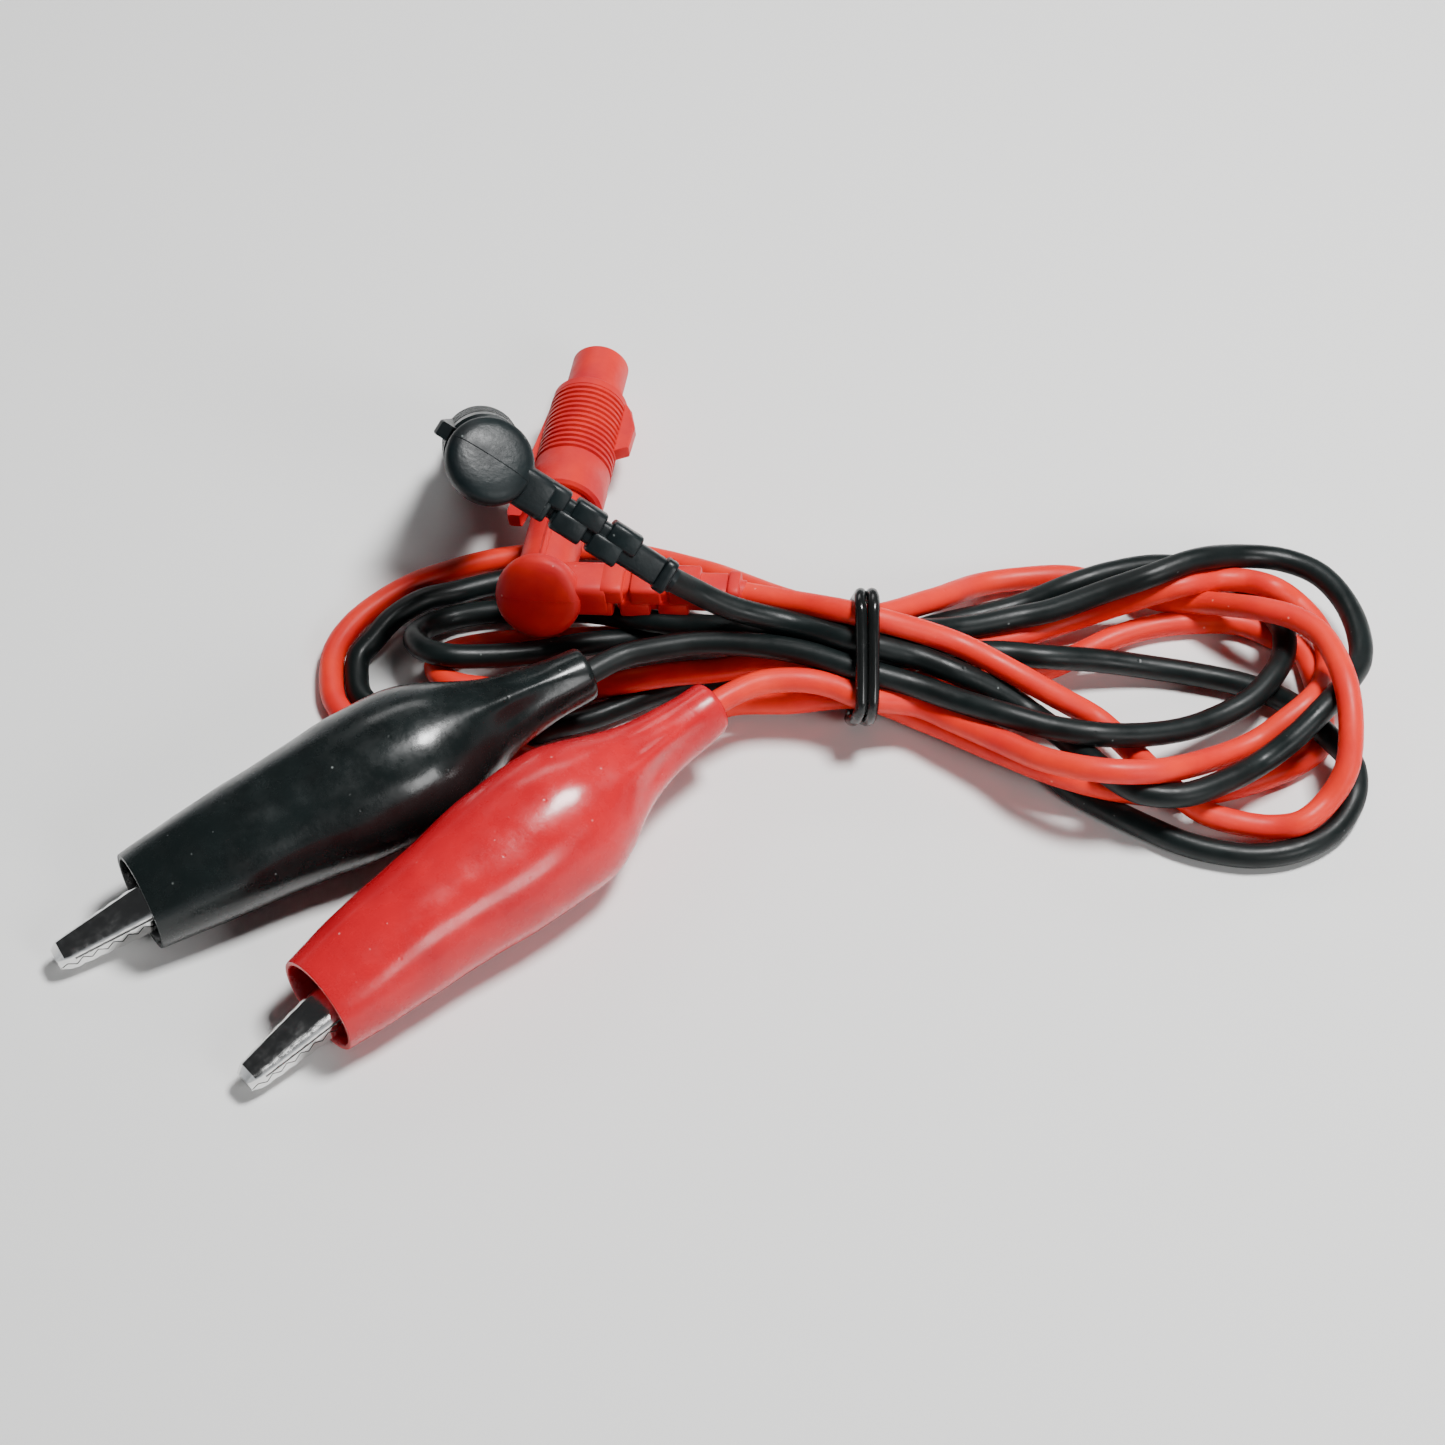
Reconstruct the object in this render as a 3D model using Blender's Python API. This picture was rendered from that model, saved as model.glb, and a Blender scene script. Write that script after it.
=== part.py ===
"""Pair of alligator clip leads, one red and one black, wound together in a hank and held by a tie.

World frame: metres, +Z up, the table at Z = 0, +X towards the loops of the hank.
"""

import math

import bmesh
import bpy
from mathutils import Matrix, Vector
from mathutils.geometry import convex_hull_2d

MM = 0.001
GAP = 0.3 * MM
OBJECT_NAME = "alligator_clip_leads"

# Moves the pieces so that the middle of their box, without the wires, is at the origin.
SHIFT = Vector((-37.36, 0.97, 0.16)) * MM

# Wire
WIRE_RADIUS = 1.65 * MM
WIRE_RING_STEP = 11.5 * MM
WIRE_BEND_WEIGHT = 4.0 * MM

# Tie, two turns side by side round the middle of the hank
TIE_X = 21.6 * MM
TIE_TURN_RADIUS = 0.9 * MM
TIE_TURN_PITCH = 1.7 * MM
TIE_CLEARANCE = 0.65 * MM

# Boot, stations from the mouth: (distance, half width, half height, height of the middle), mm
BOOT_STATIONS = (
    (0.0, 7.7, 7.5, 7.8),
    (12.0, 9.1, 8.9, 9.2),
    (24.0, 10.1, 9.8, 10.1),
    (34.0, 11.3, 10.6, 10.9),
    (42.0, 11.6, 11.0, 11.3),
    (47.0, 11.3, 10.7, 11.4),
    (51.0, 9.9, 9.7, 11.6),
    (55.0, 7.9, 8.2, 12.0),
    (59.0, 6.2, 6.7, 12.3),
    (64.0, 5.0, 5.5, 12.6),
    (69.0, 4.4, 4.7, 12.9),
    (74.5, 4.1, 4.3, 13.1),
)
BOOT_WALL = 0.9
BOOT_SLEEVE_BORE = 2.6
BOOT_SIDES = 20

# Jaws, in the jaw frame: u runs back from the pivot, v up, the teeth meet along v = 0, mm
JAW_PITCH_DEG = 9.0
PIVOT_FROM_MOUTH = 22.0
PIVOT_HEIGHT = 9.0
TIP_U = -36.5
WIDTH_KNEE_FRONT = -20.0
WIDTH_KNEE_BACK = -8.0
JAW_SHEET = 0.8
TOOTH_PITCH = 2.4
TOOTH_HEIGHT = 1.1
TEETH = 11
TEETH_GAP = 0.3
RIVET_RADIUS = 1.6
RIVET_HOLE = 1.9
CRIMP_U = (35.0, 42.5)
CRIMP_V = -2.2
CRIMP_RADIUS = 2.5
CRIMP_BORE = 1.9
CONDUCTOR_RADIUS = 1.5
SPRING_COIL_RADIUS = 2.9
SPRING_WIRE_RADIUS = 0.35
SPRING_TURNS = 3
SPRING_LEG = 9.0

# Plug, along the pin's axis from the wire's axis, mm
DISC_RADIUS = 6.6
DISC_EDGE = 1.4
DISC_DOME = 1.6
DISC_TILT_DEG = 25.0
DISC_BACK = 3.2
STEM_RADIUS = 4.6
STEM_END = 22.0
SLEEVE_START = 17.5
SLEEVE_END = 43.0
SLEEVE_RADIUS = 6.3
SLEEVE_BORE = 5.0
NOSE_END = 52.0
NOSE_RADIUS = 4.7
NOSE_BORE = 3.3
FIN_HEIGHT = 1.6
PIN_RADIUS = 1.75
PIN_START = 12.0
PIN_END = 49.0
PIN_BORE = 2.1
LANTERN = (34.0, 47.0)
LANTERN_BORE = 2.05
LANTERN_RADIUS = 2.55
RETURN_SPRING = (22.5, 41.0)
RETURN_SPRING_RADIUS = 3.9
RETURN_SPRING_WIRE = 0.35
RETURN_SPRING_TURNS = 6
RELIEF_ROOT = 13.0
RELIEF_RADII = (3.1, 1.95)
RELIEF_BLOCK = 5.2
RELIEF_NECK = 1.6
RELIEF_RING = 2.2

# Each lead: where its clip and its plug lie, mm and degrees
LEADS = {
    "red": {
        "mouth": (-57.5, -56.3),
        "clip_yaw": 41.5,
        "jaw_yaw": 1.0,
        "jaw_side": 0.0,
        "plug": (-28.05, 17.6, 11.6),
        "pin": (0.151, 0.985, -0.08),
        "colour": (0.78, 0.03, 0.03),
    },
    "black": {
        "mouth": (-84.8, -38.5),
        "clip_yaw": 30.7,
        "jaw_yaw": 0.0,
        "jaw_side": 0.0,
        "plug": (-34.9, 18.4, 39.55),
        "pin": (-0.1, 0.716, -0.691),
        "colour": (0.012, 0.018, 0.018),
    },
}

# The wires' routes, plug to clip: hand-placed points on one smooth curve each, metres
RED_ROUTE = (
    (0.0025, 0.0145, 0.0140), (0.0104, 0.0119, 0.0150), (0.0213, 0.0067, 0.0181), (0.0355, 0.0050, 0.0135),
    (0.0431, 0.0013, 0.0120), (0.0510, -0.0019, 0.0090), (0.0573, -0.0040, 0.0060), (0.0622, -0.0101, 0.0060),
    (0.0664, -0.0166, 0.0069), (0.0721, -0.0205, 0.0049), (0.0776, -0.0216, 0.0036), (0.0825, -0.0223, 0.0036),
    (0.0866, -0.0224, 0.0050), (0.0907, -0.0193, 0.0064), (0.0933, -0.0159, 0.0096), (0.0941, -0.0103, 0.0130),
    (0.0937, -0.0033, 0.0150), (0.0915, 0.0060, 0.0140), (0.0880, 0.0103, 0.0130), (0.0834, 0.0133, 0.0115),
    (0.0790, 0.0165, 0.0086), (0.0744, 0.0195, 0.0056), (0.0695, 0.0211, 0.0042), (0.0621, 0.0253, 0.0025),
    (0.0551, 0.0275, 0.0022), (0.0485, 0.0272, 0.0022), (0.0412, 0.0253, 0.0030), (0.0325, 0.0178, 0.0080),
    (0.0213, 0.0110, 0.0124), (0.0105, 0.0161, 0.0100), (-0.0036, 0.0272, 0.0042), (-0.0197, 0.0329, 0.0022),
    (-0.0332, 0.0316, 0.0022), (-0.0386, 0.0304, 0.0022), (-0.0438, 0.0285, 0.0022), (-0.0489, 0.0262, 0.0022),
    (-0.0539, 0.0225, 0.0022), (-0.0581, 0.0180, 0.0022), (-0.0607, 0.0128, 0.0022), (-0.0610, 0.0074, 0.0022),
    (-0.0598, 0.0019, 0.0022), (-0.0555, -0.0025, 0.0020), (-0.0470, -0.0040, 0.0020), (-0.0400, -0.0038, 0.0020),
    (-0.0340, -0.0063, 0.0020), (-0.0280, -0.0090, 0.0020), (-0.0200, -0.0105, 0.0020), (-0.0120, -0.0075, 0.0020),
    (-0.0050, -0.0030, 0.0025), (0.0002, 0.0002, 0.0040), (0.0104, 0.0002, 0.0050), (0.0213, 0.0011, 0.0049),
    (0.0318, -0.0031, 0.0042), (0.0422, -0.0094, 0.0050), (0.0508, -0.0146, 0.0062), (0.0598, -0.0165, 0.0050),
    (0.0693, -0.0154, 0.0022), (0.0754, -0.0145, 0.0022), (0.0814, -0.0126, 0.0022), (0.0873, -0.0098, 0.0022),
    (0.0913, -0.0064, 0.0022), (0.0924, -0.0021, 0.0022), (0.0926, 0.0027, 0.0022), (0.0921, 0.0078, 0.0022),
    (0.0908, 0.0126, 0.0022), (0.0877, 0.0146, 0.0022), (0.0819, 0.0178, 0.0022), (0.0751, 0.0182, 0.0022),
    (0.0684, 0.0174, 0.0022), (0.0616, 0.0150, 0.0022), (0.0557, 0.0116, 0.0022), (0.0501, 0.0082, 0.0030),
    (0.0367, 0.0045, 0.0050), (0.0213, 0.0006, 0.0090), (0.0073, 0.0046, 0.0086), (-0.0021, 0.0048, 0.0068),
    (-0.0073, 0.0049, 0.0060), (-0.0126, 0.0042, 0.0056), (-0.0180, 0.0041, 0.0040), (-0.0219, 0.0040, 0.0030),
    (-0.0299, 0.0042, 0.0025), (-0.0374, 0.0027, 0.0052), (-0.0420, 0.0036, 0.0056), (-0.0444, 0.0068, 0.0050),
    (-0.0426, 0.0108, 0.0037), (-0.0349, 0.0138, 0.0025), (-0.0256, 0.0146, 0.0022), (-0.0193, 0.0150, 0.0022),
    (-0.0035, 0.0151, 0.0026), (0.0104, 0.0063, 0.0067), (0.0213, 0.0044, 0.0074), (0.0337, 0.0088, 0.0065),
    (0.0450, 0.0130, 0.0042), (0.0514, 0.0158, 0.0040), (0.0586, 0.0180, 0.0050), (0.0653, 0.0189, 0.0074),
    (0.0723, 0.0201, 0.0091), (0.0778, 0.0224, 0.0076), (0.0824, 0.0222, 0.0076), (0.0863, 0.0199, 0.0086),
    (0.0900, 0.0185, 0.0066), (0.0930, 0.0140, 0.0060), (0.0942, 0.0094, 0.0050), (0.0929, 0.0037, 0.0060),
    (0.0895, -0.0028, 0.0094), (0.0857, -0.0060, 0.0088), (0.0807, -0.0090, 0.0070), (0.0738, -0.0129, 0.0080),
    (0.0642, -0.0188, 0.0130), (0.0558, -0.0192, 0.0138), (0.0479, -0.0156, 0.0116), (0.0422, -0.0108, 0.0095),
    (0.0353, -0.0060, 0.0084), (0.0297, -0.0027, 0.0080), (0.0213, -0.0033, 0.0106), (0.0168, -0.0016, 0.0113),
    (0.0121, -0.0010, 0.0120), (0.0064, -0.0015, 0.0122), (0.0028, -0.0034, 0.0127), (-0.0016, -0.0067, 0.0130),
    (-0.0047, -0.0096, 0.0130), (-0.0084, -0.0121, 0.0133),
)
BLACK_ROUTE = (
    (-0.0082, 0.0078, 0.0258), (-0.0045, 0.0085, 0.0220), (0.0010, 0.0080, 0.0185), (0.0103, 0.0077, 0.0150),
    (0.0213, 0.0034, 0.0156), (0.0296, 0.0027, 0.0130), (0.0354, 0.0006, 0.0120), (0.0423, -0.0011, 0.0090),
    (0.0469, -0.0033, 0.0070), (0.0525, -0.0097, 0.0080), (0.0579, -0.0169, 0.0094), (0.0623, -0.0205, 0.0100),
    (0.0685, -0.0209, 0.0099), (0.0756, -0.0175, 0.0090), (0.0811, -0.0135, 0.0080), (0.0863, -0.0101, 0.0100),
    (0.0910, -0.0057, 0.0115), (0.0947, -0.0008, 0.0105), (0.0979, 0.0049, 0.0095), (0.0984, 0.0108, 0.0090),
    (0.0970, 0.0184, 0.0080), (0.0938, 0.0233, 0.0080), (0.0887, 0.0261, 0.0080), (0.0817, 0.0261, 0.0090),
    (0.0739, 0.0229, 0.0118), (0.0666, 0.0195, 0.0120), (0.0598, 0.0181, 0.0100), (0.0511, 0.0158, 0.0080),
    (0.0458, 0.0148, 0.0075), (0.0368, 0.0117, 0.0088), (0.0213, 0.0072, 0.0140), (0.0104, 0.0121, 0.0108),
    (-0.0035, 0.0213, 0.0064), (-0.0196, 0.0284, 0.0023), (-0.0324, 0.0272, 0.0022), (-0.0369, 0.0257, 0.0026),
    (-0.0420, 0.0235, 0.0032), (-0.0473, 0.0216, 0.0036), (-0.0519, 0.0179, 0.0036), (-0.0547, 0.0140, 0.0032),
    (-0.0569, 0.0109, 0.0026), (-0.0570, 0.0074, 0.0022), (-0.0561, 0.0035, 0.0022), (-0.0530, 0.0008, 0.0024),
    (-0.0450, 0.0000, 0.0030), (-0.0370, -0.0011, 0.0032), (-0.0299, -0.0037, 0.0022), (-0.0252, -0.0023, 0.0022),
    (-0.0203, -0.0008, 0.0022), (-0.0154, 0.0015, 0.0022), (-0.0105, 0.0039, 0.0022), (-0.0035, 0.0060, 0.0025),
    (0.0089, 0.0062, 0.0025), (0.0213, 0.0066, 0.0045), (0.0321, 0.0003, 0.0020), (0.0425, -0.0060, 0.0022),
    (0.0486, -0.0098, 0.0022), (0.0530, -0.0143, 0.0022), (0.0591, -0.0186, 0.0022), (0.0651, -0.0222, 0.0022),
    (0.0691, -0.0243, 0.0022), (0.0733, -0.0257, 0.0022), (0.0794, -0.0266, 0.0022), (0.0859, -0.0255, 0.0022),
    (0.0920, -0.0217, 0.0022), (0.0957, -0.0154, 0.0030), (0.0954, -0.0115, 0.0050), (0.0921, -0.0076, 0.0064),
    (0.0891, -0.0019, 0.0049), (0.0858, 0.0027, 0.0030), (0.0806, 0.0056, 0.0025), (0.0741, 0.0074, 0.0025),
    (0.0676, 0.0085, 0.0028), (0.0587, 0.0084, 0.0048), (0.0497, 0.0072, 0.0073), (0.0432, 0.0078, 0.0075),
    (0.0335, 0.0061, 0.0094), (0.0213, 0.0039, 0.0115), (0.0088, 0.0069, 0.0116), (-0.0005, 0.0098, 0.0112),
    (-0.0055, 0.0115, 0.0098), (-0.0130, 0.0135, 0.0088), (-0.0207, 0.0182, 0.0048), (-0.0327, 0.0205, 0.0022),
    (-0.0381, 0.0201, 0.0022), (-0.0432, 0.0186, 0.0025), (-0.0466, 0.0156, 0.0040), (-0.0479, 0.0118, 0.0062),
    (-0.0461, 0.0082, 0.0080), (-0.0426, 0.0065, 0.0086), (-0.0365, 0.0071, 0.0076), (-0.0283, 0.0092, 0.0060),
    (-0.0222, 0.0106, 0.0060), (-0.0155, 0.0120, 0.0054), (-0.0055, 0.0126, 0.0062), (0.0027, 0.0103, 0.0086),
    (0.0120, 0.0088, 0.0092), (0.0213, 0.0077, 0.0099), (0.0341, 0.0154, 0.0050), (0.0463, 0.0197, 0.0042),
    (0.0551, 0.0223, 0.0065), (0.0613, 0.0247, 0.0065), (0.0689, 0.0270, 0.0055), (0.0777, 0.0273, 0.0036),
    (0.0842, 0.0245, 0.0028), (0.0865, 0.0172, 0.0052), (0.0873, 0.0118, 0.0072), (0.0870, 0.0084, 0.0065),
    (0.0847, 0.0037, 0.0070), (0.0809, -0.0008, 0.0070), (0.0753, -0.0044, 0.0070), (0.0699, -0.0073, 0.0080),
    (0.0628, -0.0096, 0.0096), (0.0559, -0.0107, 0.0113), (0.0492, -0.0095, 0.0115), (0.0422, -0.0074, 0.0120),
    (0.0359, -0.0046, 0.0115), (0.0295, -0.0017, 0.0115), (0.0213, 0.0000, 0.0131), (0.0118, 0.0033, 0.0135),
    (0.0043, 0.0049, 0.0132), (-0.0034, 0.0054, 0.0130), (-0.0095, 0.0044, 0.0130), (-0.0151, 0.0029, 0.0130),
    (-0.0217, -0.0014, 0.0130), (-0.0240, -0.0028, 0.0130), (-0.0278, -0.0051, 0.0133),
)


def clear_scene():
    for obj in list(bpy.data.objects):
        bpy.data.objects.remove(obj, do_unlink=True)
    for collection in list(bpy.data.collections):
        bpy.data.collections.remove(collection)


def make_collection(name):
    collection = bpy.data.collections.new(name)
    bpy.context.scene.collection.children.link(collection)
    return collection


def make_material(name, colour, roughness, metallic=0.0):
    material = bpy.data.materials.new(name)
    material.use_nodes = True
    shader = material.node_tree.nodes["Principled BSDF"]
    shader.inputs["Base Color"].default_value = (*colour, 1.0)
    shader.inputs["Roughness"].default_value = roughness
    shader.inputs["Metallic"].default_value = metallic
    return material


def mesh_object(name, bm, collection, material=None):
    """A new object from a bmesh, in the given collection."""
    bmesh.ops.recalc_face_normals(bm, faces=bm.faces)
    mesh = bpy.data.meshes.new(name)
    bm.to_mesh(mesh)
    bm.free()
    obj = bpy.data.objects.new(name, mesh)
    collection.objects.link(obj)
    if material is not None:
        mesh.materials.append(material)
    return obj


def smooth(obj, angle_deg=35.0):
    obj.data.shade_smooth()
    obj.data.set_sharp_from_angle(angle=math.radians(angle_deg))


def boolean(obj, other, operation):
    """A live EXACT Boolean with a guide object, which is not rendered."""
    modifier = obj.modifiers.new(operation.lower(), "BOOLEAN")
    modifier.operation = operation
    modifier.solver = "EXACT"
    modifier.object = other
    other.hide_render = True
    other.display_type = "WIRE"


def bridged_rings(rings, closed):
    """A bmesh of quads between rings of the same count, closed into a torus or capped at both ends."""
    bm = bmesh.new()
    loops = [[bm.verts.new(point) for point in ring] for ring in rings]
    pairs = list(zip(loops, loops[1:]))
    if closed:
        pairs.append((loops[-1], loops[0]))
    count = len(loops[0])
    for near, far in pairs:
        for i in range(count):
            j = (i + 1) % count
            bm.faces.new((near[i], near[j], far[j], far[i]))
    if not closed:
        bm.faces.new(loops[0])
        bm.faces.new(loops[-1])
    return bm


def circle_ring(centre, side, up, half_width, half_height, count):
    turns = [math.tau * i / count for i in range(count)]
    return [
        centre + side * half_width * math.cos(a) + up * half_height * math.sin(a)
        for a in turns
    ]


def turned(profile, count, axis_start=0.0):
    """Rings of a solid turned round +X from (x, radius) pairs, mm."""
    return [
        circle_ring(
            Vector(((axis_start + x) * MM, 0, 0)),
            Vector((0, 1, 0)),
            Vector((0, 0, 1)),
            radius * MM,
            radius * MM,
            count,
        )
        for x, radius in profile
    ]


def smooth_curve(points, per_span):
    """Points of a centripetal Catmull-Rom curve through the given points."""
    points = [Vector(p) for p in points]
    ends = [2 * points[0] - points[1], *points, 2 * points[-1] - points[-2]]
    found = []
    for p0, p1, p2, p3 in zip(ends, ends[1:], ends[2:], ends[3:]):
        t1 = math.sqrt((p1 - p0).length)
        t2 = t1 + math.sqrt((p2 - p1).length)
        t3 = t2 + math.sqrt((p3 - p2).length)
        for i in range(per_span):
            t = t1 + (t2 - t1) * i / per_span
            a1 = p0.lerp(p1, t / t1)
            a2 = p1.lerp(p2, (t - t1) / (t2 - t1))
            a3 = p2.lerp(p3, (t - t2) / (t3 - t2))
            b1 = a1.lerp(a2, t / t2)
            b2 = a2.lerp(a3, (t - t1) / (t3 - t1))
            found.append(b1.lerp(b2, (t - t1) / (t2 - t1)))
    found.append(points[-1])
    return found


def spaced_along(curve, step, bend_weight):
    """Points read from a dense curve, closer together where it bends."""
    kept = [curve[0]]
    used = 0.0
    for before, here, after in zip(curve, curve[1:], curve[2:]):
        used += (here - before).length
        used += bend_weight * (here - before).angle(after - here, 0.0)
        if used >= step:
            kept.append(here)
            used = 0.0
    if (kept[-1] - curve[-1]).length < step / 3 and len(kept) > 1:
        kept.pop()
    kept.append(curve[-1])
    return kept


def tube(name, points, radius, resolution, collection, material):
    """A wire: a POLY curve with a round bevel and filled caps."""
    curve = bpy.data.curves.new(name, "CURVE")
    curve.dimensions = "3D"
    curve.bevel_depth = radius
    curve.bevel_resolution = resolution
    curve.use_fill_caps = True
    spline = curve.splines.new("POLY")
    spline.points.add(len(points) - 1)
    for target, point in zip(spline.points, points):
        target.co = (*point, 1.0)
    curve.materials.append(material)
    obj = bpy.data.objects.new(name, curve)
    collection.objects.link(obj)
    return obj


def parent_empty(name, matrix, collection):
    empty = bpy.data.objects.new(name, None)
    empty.empty_display_size = 0.01
    empty.matrix_world = matrix
    collection.objects.link(empty)
    return empty


def under(empty, *objects):
    for obj in objects:
        obj.parent = empty


# ---------------------------------------------------------------- clip


def boot_ring(distance, half_width, half_height, middle, inset=0.0):
    return circle_ring(
        Vector((distance * MM, 0, middle * MM)),
        Vector((0, 1, 0)),
        Vector((0, 0, 1)),
        (half_width - inset) * MM,
        (half_height - inset) * MM,
        BOOT_SIDES,
    )


def make_boot(name, collection, material):
    """Soft sleeve, open at the mouth and at the cable end: outer skin, then back along the inner one."""
    outer = [boot_ring(*station) for station in BOOT_STATIONS]
    inner = []
    for distance, width, height, middle in reversed(BOOT_STATIONS):
        wall_w = min(BOOT_WALL, width - BOOT_SLEEVE_BORE)
        wall_h = min(BOOT_WALL, height - BOOT_SLEEVE_BORE)
        inner.append(boot_ring(distance, width - wall_w, height - wall_h, middle))
    obj = mesh_object(name, bridged_rings(outer + inner, closed=True), collection, material)
    smooth(obj)
    return obj


def half_width(u, upper):
    """Half the jaw's outer width at u, mm: equal at the teeth, the lower jaw wider at the pivot."""
    tip, mouth = 2.0, 3.3
    if u <= WIDTH_KNEE_FRONT:
        return tip + (mouth - tip) * (u - TIP_U) / (WIDTH_KNEE_FRONT - TIP_U)
    back = 3.5 if upper else 4.9
    if u >= WIDTH_KNEE_BACK:
        return back
    return mouth + (back - mouth) * (u - WIDTH_KNEE_FRONT) / (WIDTH_KNEE_BACK - WIDTH_KNEE_FRONT)


def tooth_line():
    """The line of the teeth, tip to back, as (u, v)."""
    points = []
    for i in range(2 * TEETH + 1):
        sign = 1 if i % 2 else -1
        u = TIP_U + 0.4 + i * TOOTH_PITCH / 2
        points.append((u, sign * TOOTH_HEIGHT / 2))
    return points


def prism(outline, width_of, collection, name):
    """A closed side outline given its width by a function of u, cut where that function bends."""
    sides = [[Vector((u * MM, y, v * MM)) for u, v in outline] for y in (-MM, MM)]
    bm = bridged_rings(sides, closed=False)
    for knee in (WIDTH_KNEE_FRONT, WIDTH_KNEE_BACK):
        everything = bm.verts[:] + bm.edges[:] + bm.faces[:]
        bmesh.ops.bisect_plane(
            bm, geom=everything, dist=1e-7, plane_co=(knee * MM, 0, 0), plane_no=(1, 0, 0)
        )
    for vert in bm.verts:
        vert.co.y = math.copysign(width_of(vert.co.x / MM) * MM, vert.co.y)
    return mesh_object(name, bm, collection)


def cylinder(name, radius, length, matrix, count, collection, material=None):
    bm = bmesh.new()
    bmesh.ops.create_cone(
        bm, cap_ends=True, segments=count, radius1=radius, radius2=radius, depth=length, matrix=matrix
    )
    return mesh_object(name, bm, collection, material)


ALONG_Y = Matrix.Rotation(math.radians(90), 4, "X")
ALONG_X = Matrix.Rotation(math.radians(90), 4, "Y")


def make_jaw(name, upper, collection, cutters, material):
    """A jaw pressed from sheet: a channel with toothed side walls, ears at the pivot and a lever."""
    side = 1.0 if upper else -1.0
    half_gap = side * TEETH_GAP / 2
    teeth = [(u, v + half_gap) for u, v in tooth_line()]
    last_u = teeth[-1][0]
    back = [(16.0, 5.8), (27.0, 6.8)] if upper else [(16.0, 4.9), (27.0, 5.4)]
    middle = [(-8.0, 4.3), (0.0, 4.7), (9.0, 5.1)] if upper else [(-8.0, 3.8), (0.0, 4.0), (9.0, 4.3)]
    skin = [(TIP_U, 1.3), (TIP_U + 1.0, 2.1), (-22.0, 3.2), *middle, *back]
    lever = [(u, v - JAW_SHEET * 1.2) for u, v in reversed(back)]
    ears = [(9.0, middle[2][1] - 1.2), (6.0, -0.5), (3.0, -2.7), (-3.0, -2.7), (-6.0, 0.8)]
    top = [(u, side * v) for u, v in skin + lever + ears]
    outline = top + [p for p in reversed(teeth) if p[0] <= last_u] + [(TIP_U, teeth[0][1])]
    jaw = prism(outline, lambda u: half_width(u, upper), collection, name)
    inner_skin = [(TIP_U + JAW_SHEET, 0.6), (TIP_U + 1.6, 1.35), (-22.0, 2.4)]
    inner_skin += [(u, v - JAW_SHEET) for u, v in middle]
    inner_skin += [(back[0][0], back[0][1] - JAW_SHEET * 1.2 - 0.2), (30.0, 2.6)]
    hollow = [(u, side * v) for u, v in inner_skin] + [(30.0, side * -6.0), (TIP_U + JAW_SHEET, side * -6.0)]
    cutter = prism(hollow, lambda u: half_width(u, upper) - JAW_SHEET, cutters, name + "_hollow")
    boolean(jaw, cutter, "DIFFERENCE")
    hole = cylinder(name + "_hole", RIVET_HOLE * MM, 20 * MM, ALONG_Y, 12, cutters)
    boolean(jaw, hole, "DIFFERENCE")
    guides = [cutter, hole]
    if not upper:
        centre = (CRIMP_U[0] + CRIMP_U[1]) / 2
        place = Matrix.Translation((centre * MM, 0, CRIMP_V * MM)) @ ALONG_X
        length = (CRIMP_U[1] - CRIMP_U[0]) * MM
        barrel = cylinder(name + "_barrel", CRIMP_RADIUS * MM, length, place, 16, cutters)
        strap_line = [(24.0, -5.3), (36.5, -4.6), (36.5, -3.6), (24.0, -4.5)]
        strap = prism(strap_line, lambda u: 2.0, cutters, name + "_strap")
        bore = cylinder(name + "_bore", CRIMP_BORE * MM, length * 2, place, 16, cutters)
        boolean(jaw, strap, "UNION")
        boolean(jaw, barrel, "UNION")
        boolean(jaw, bore, "DIFFERENCE")
        guides += [barrel, strap, bore]
    jaw.data.materials.append(material)
    return jaw, guides


def torsion_spring_points():
    """Coil round the rivet, with a leg back to each lever."""
    turns = SPRING_TURNS + 0.5
    count = int(turns * 10)
    width = 4.4
    points = []
    for i in range(count + 1):
        angle = math.tau * turns * i / count
        across = -width / 2 + width * i / count
        reach = SPRING_COIL_RADIUS
        points.append(Vector((reach * math.sin(angle), across, reach * math.cos(angle))) * MM)
    first = points[0] + Vector((SPRING_LEG * MM, 0, 0.3 * MM))
    last = points[-1] + Vector((SPRING_LEG * MM, 0, 0.0))
    return [first, *points, last]


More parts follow.
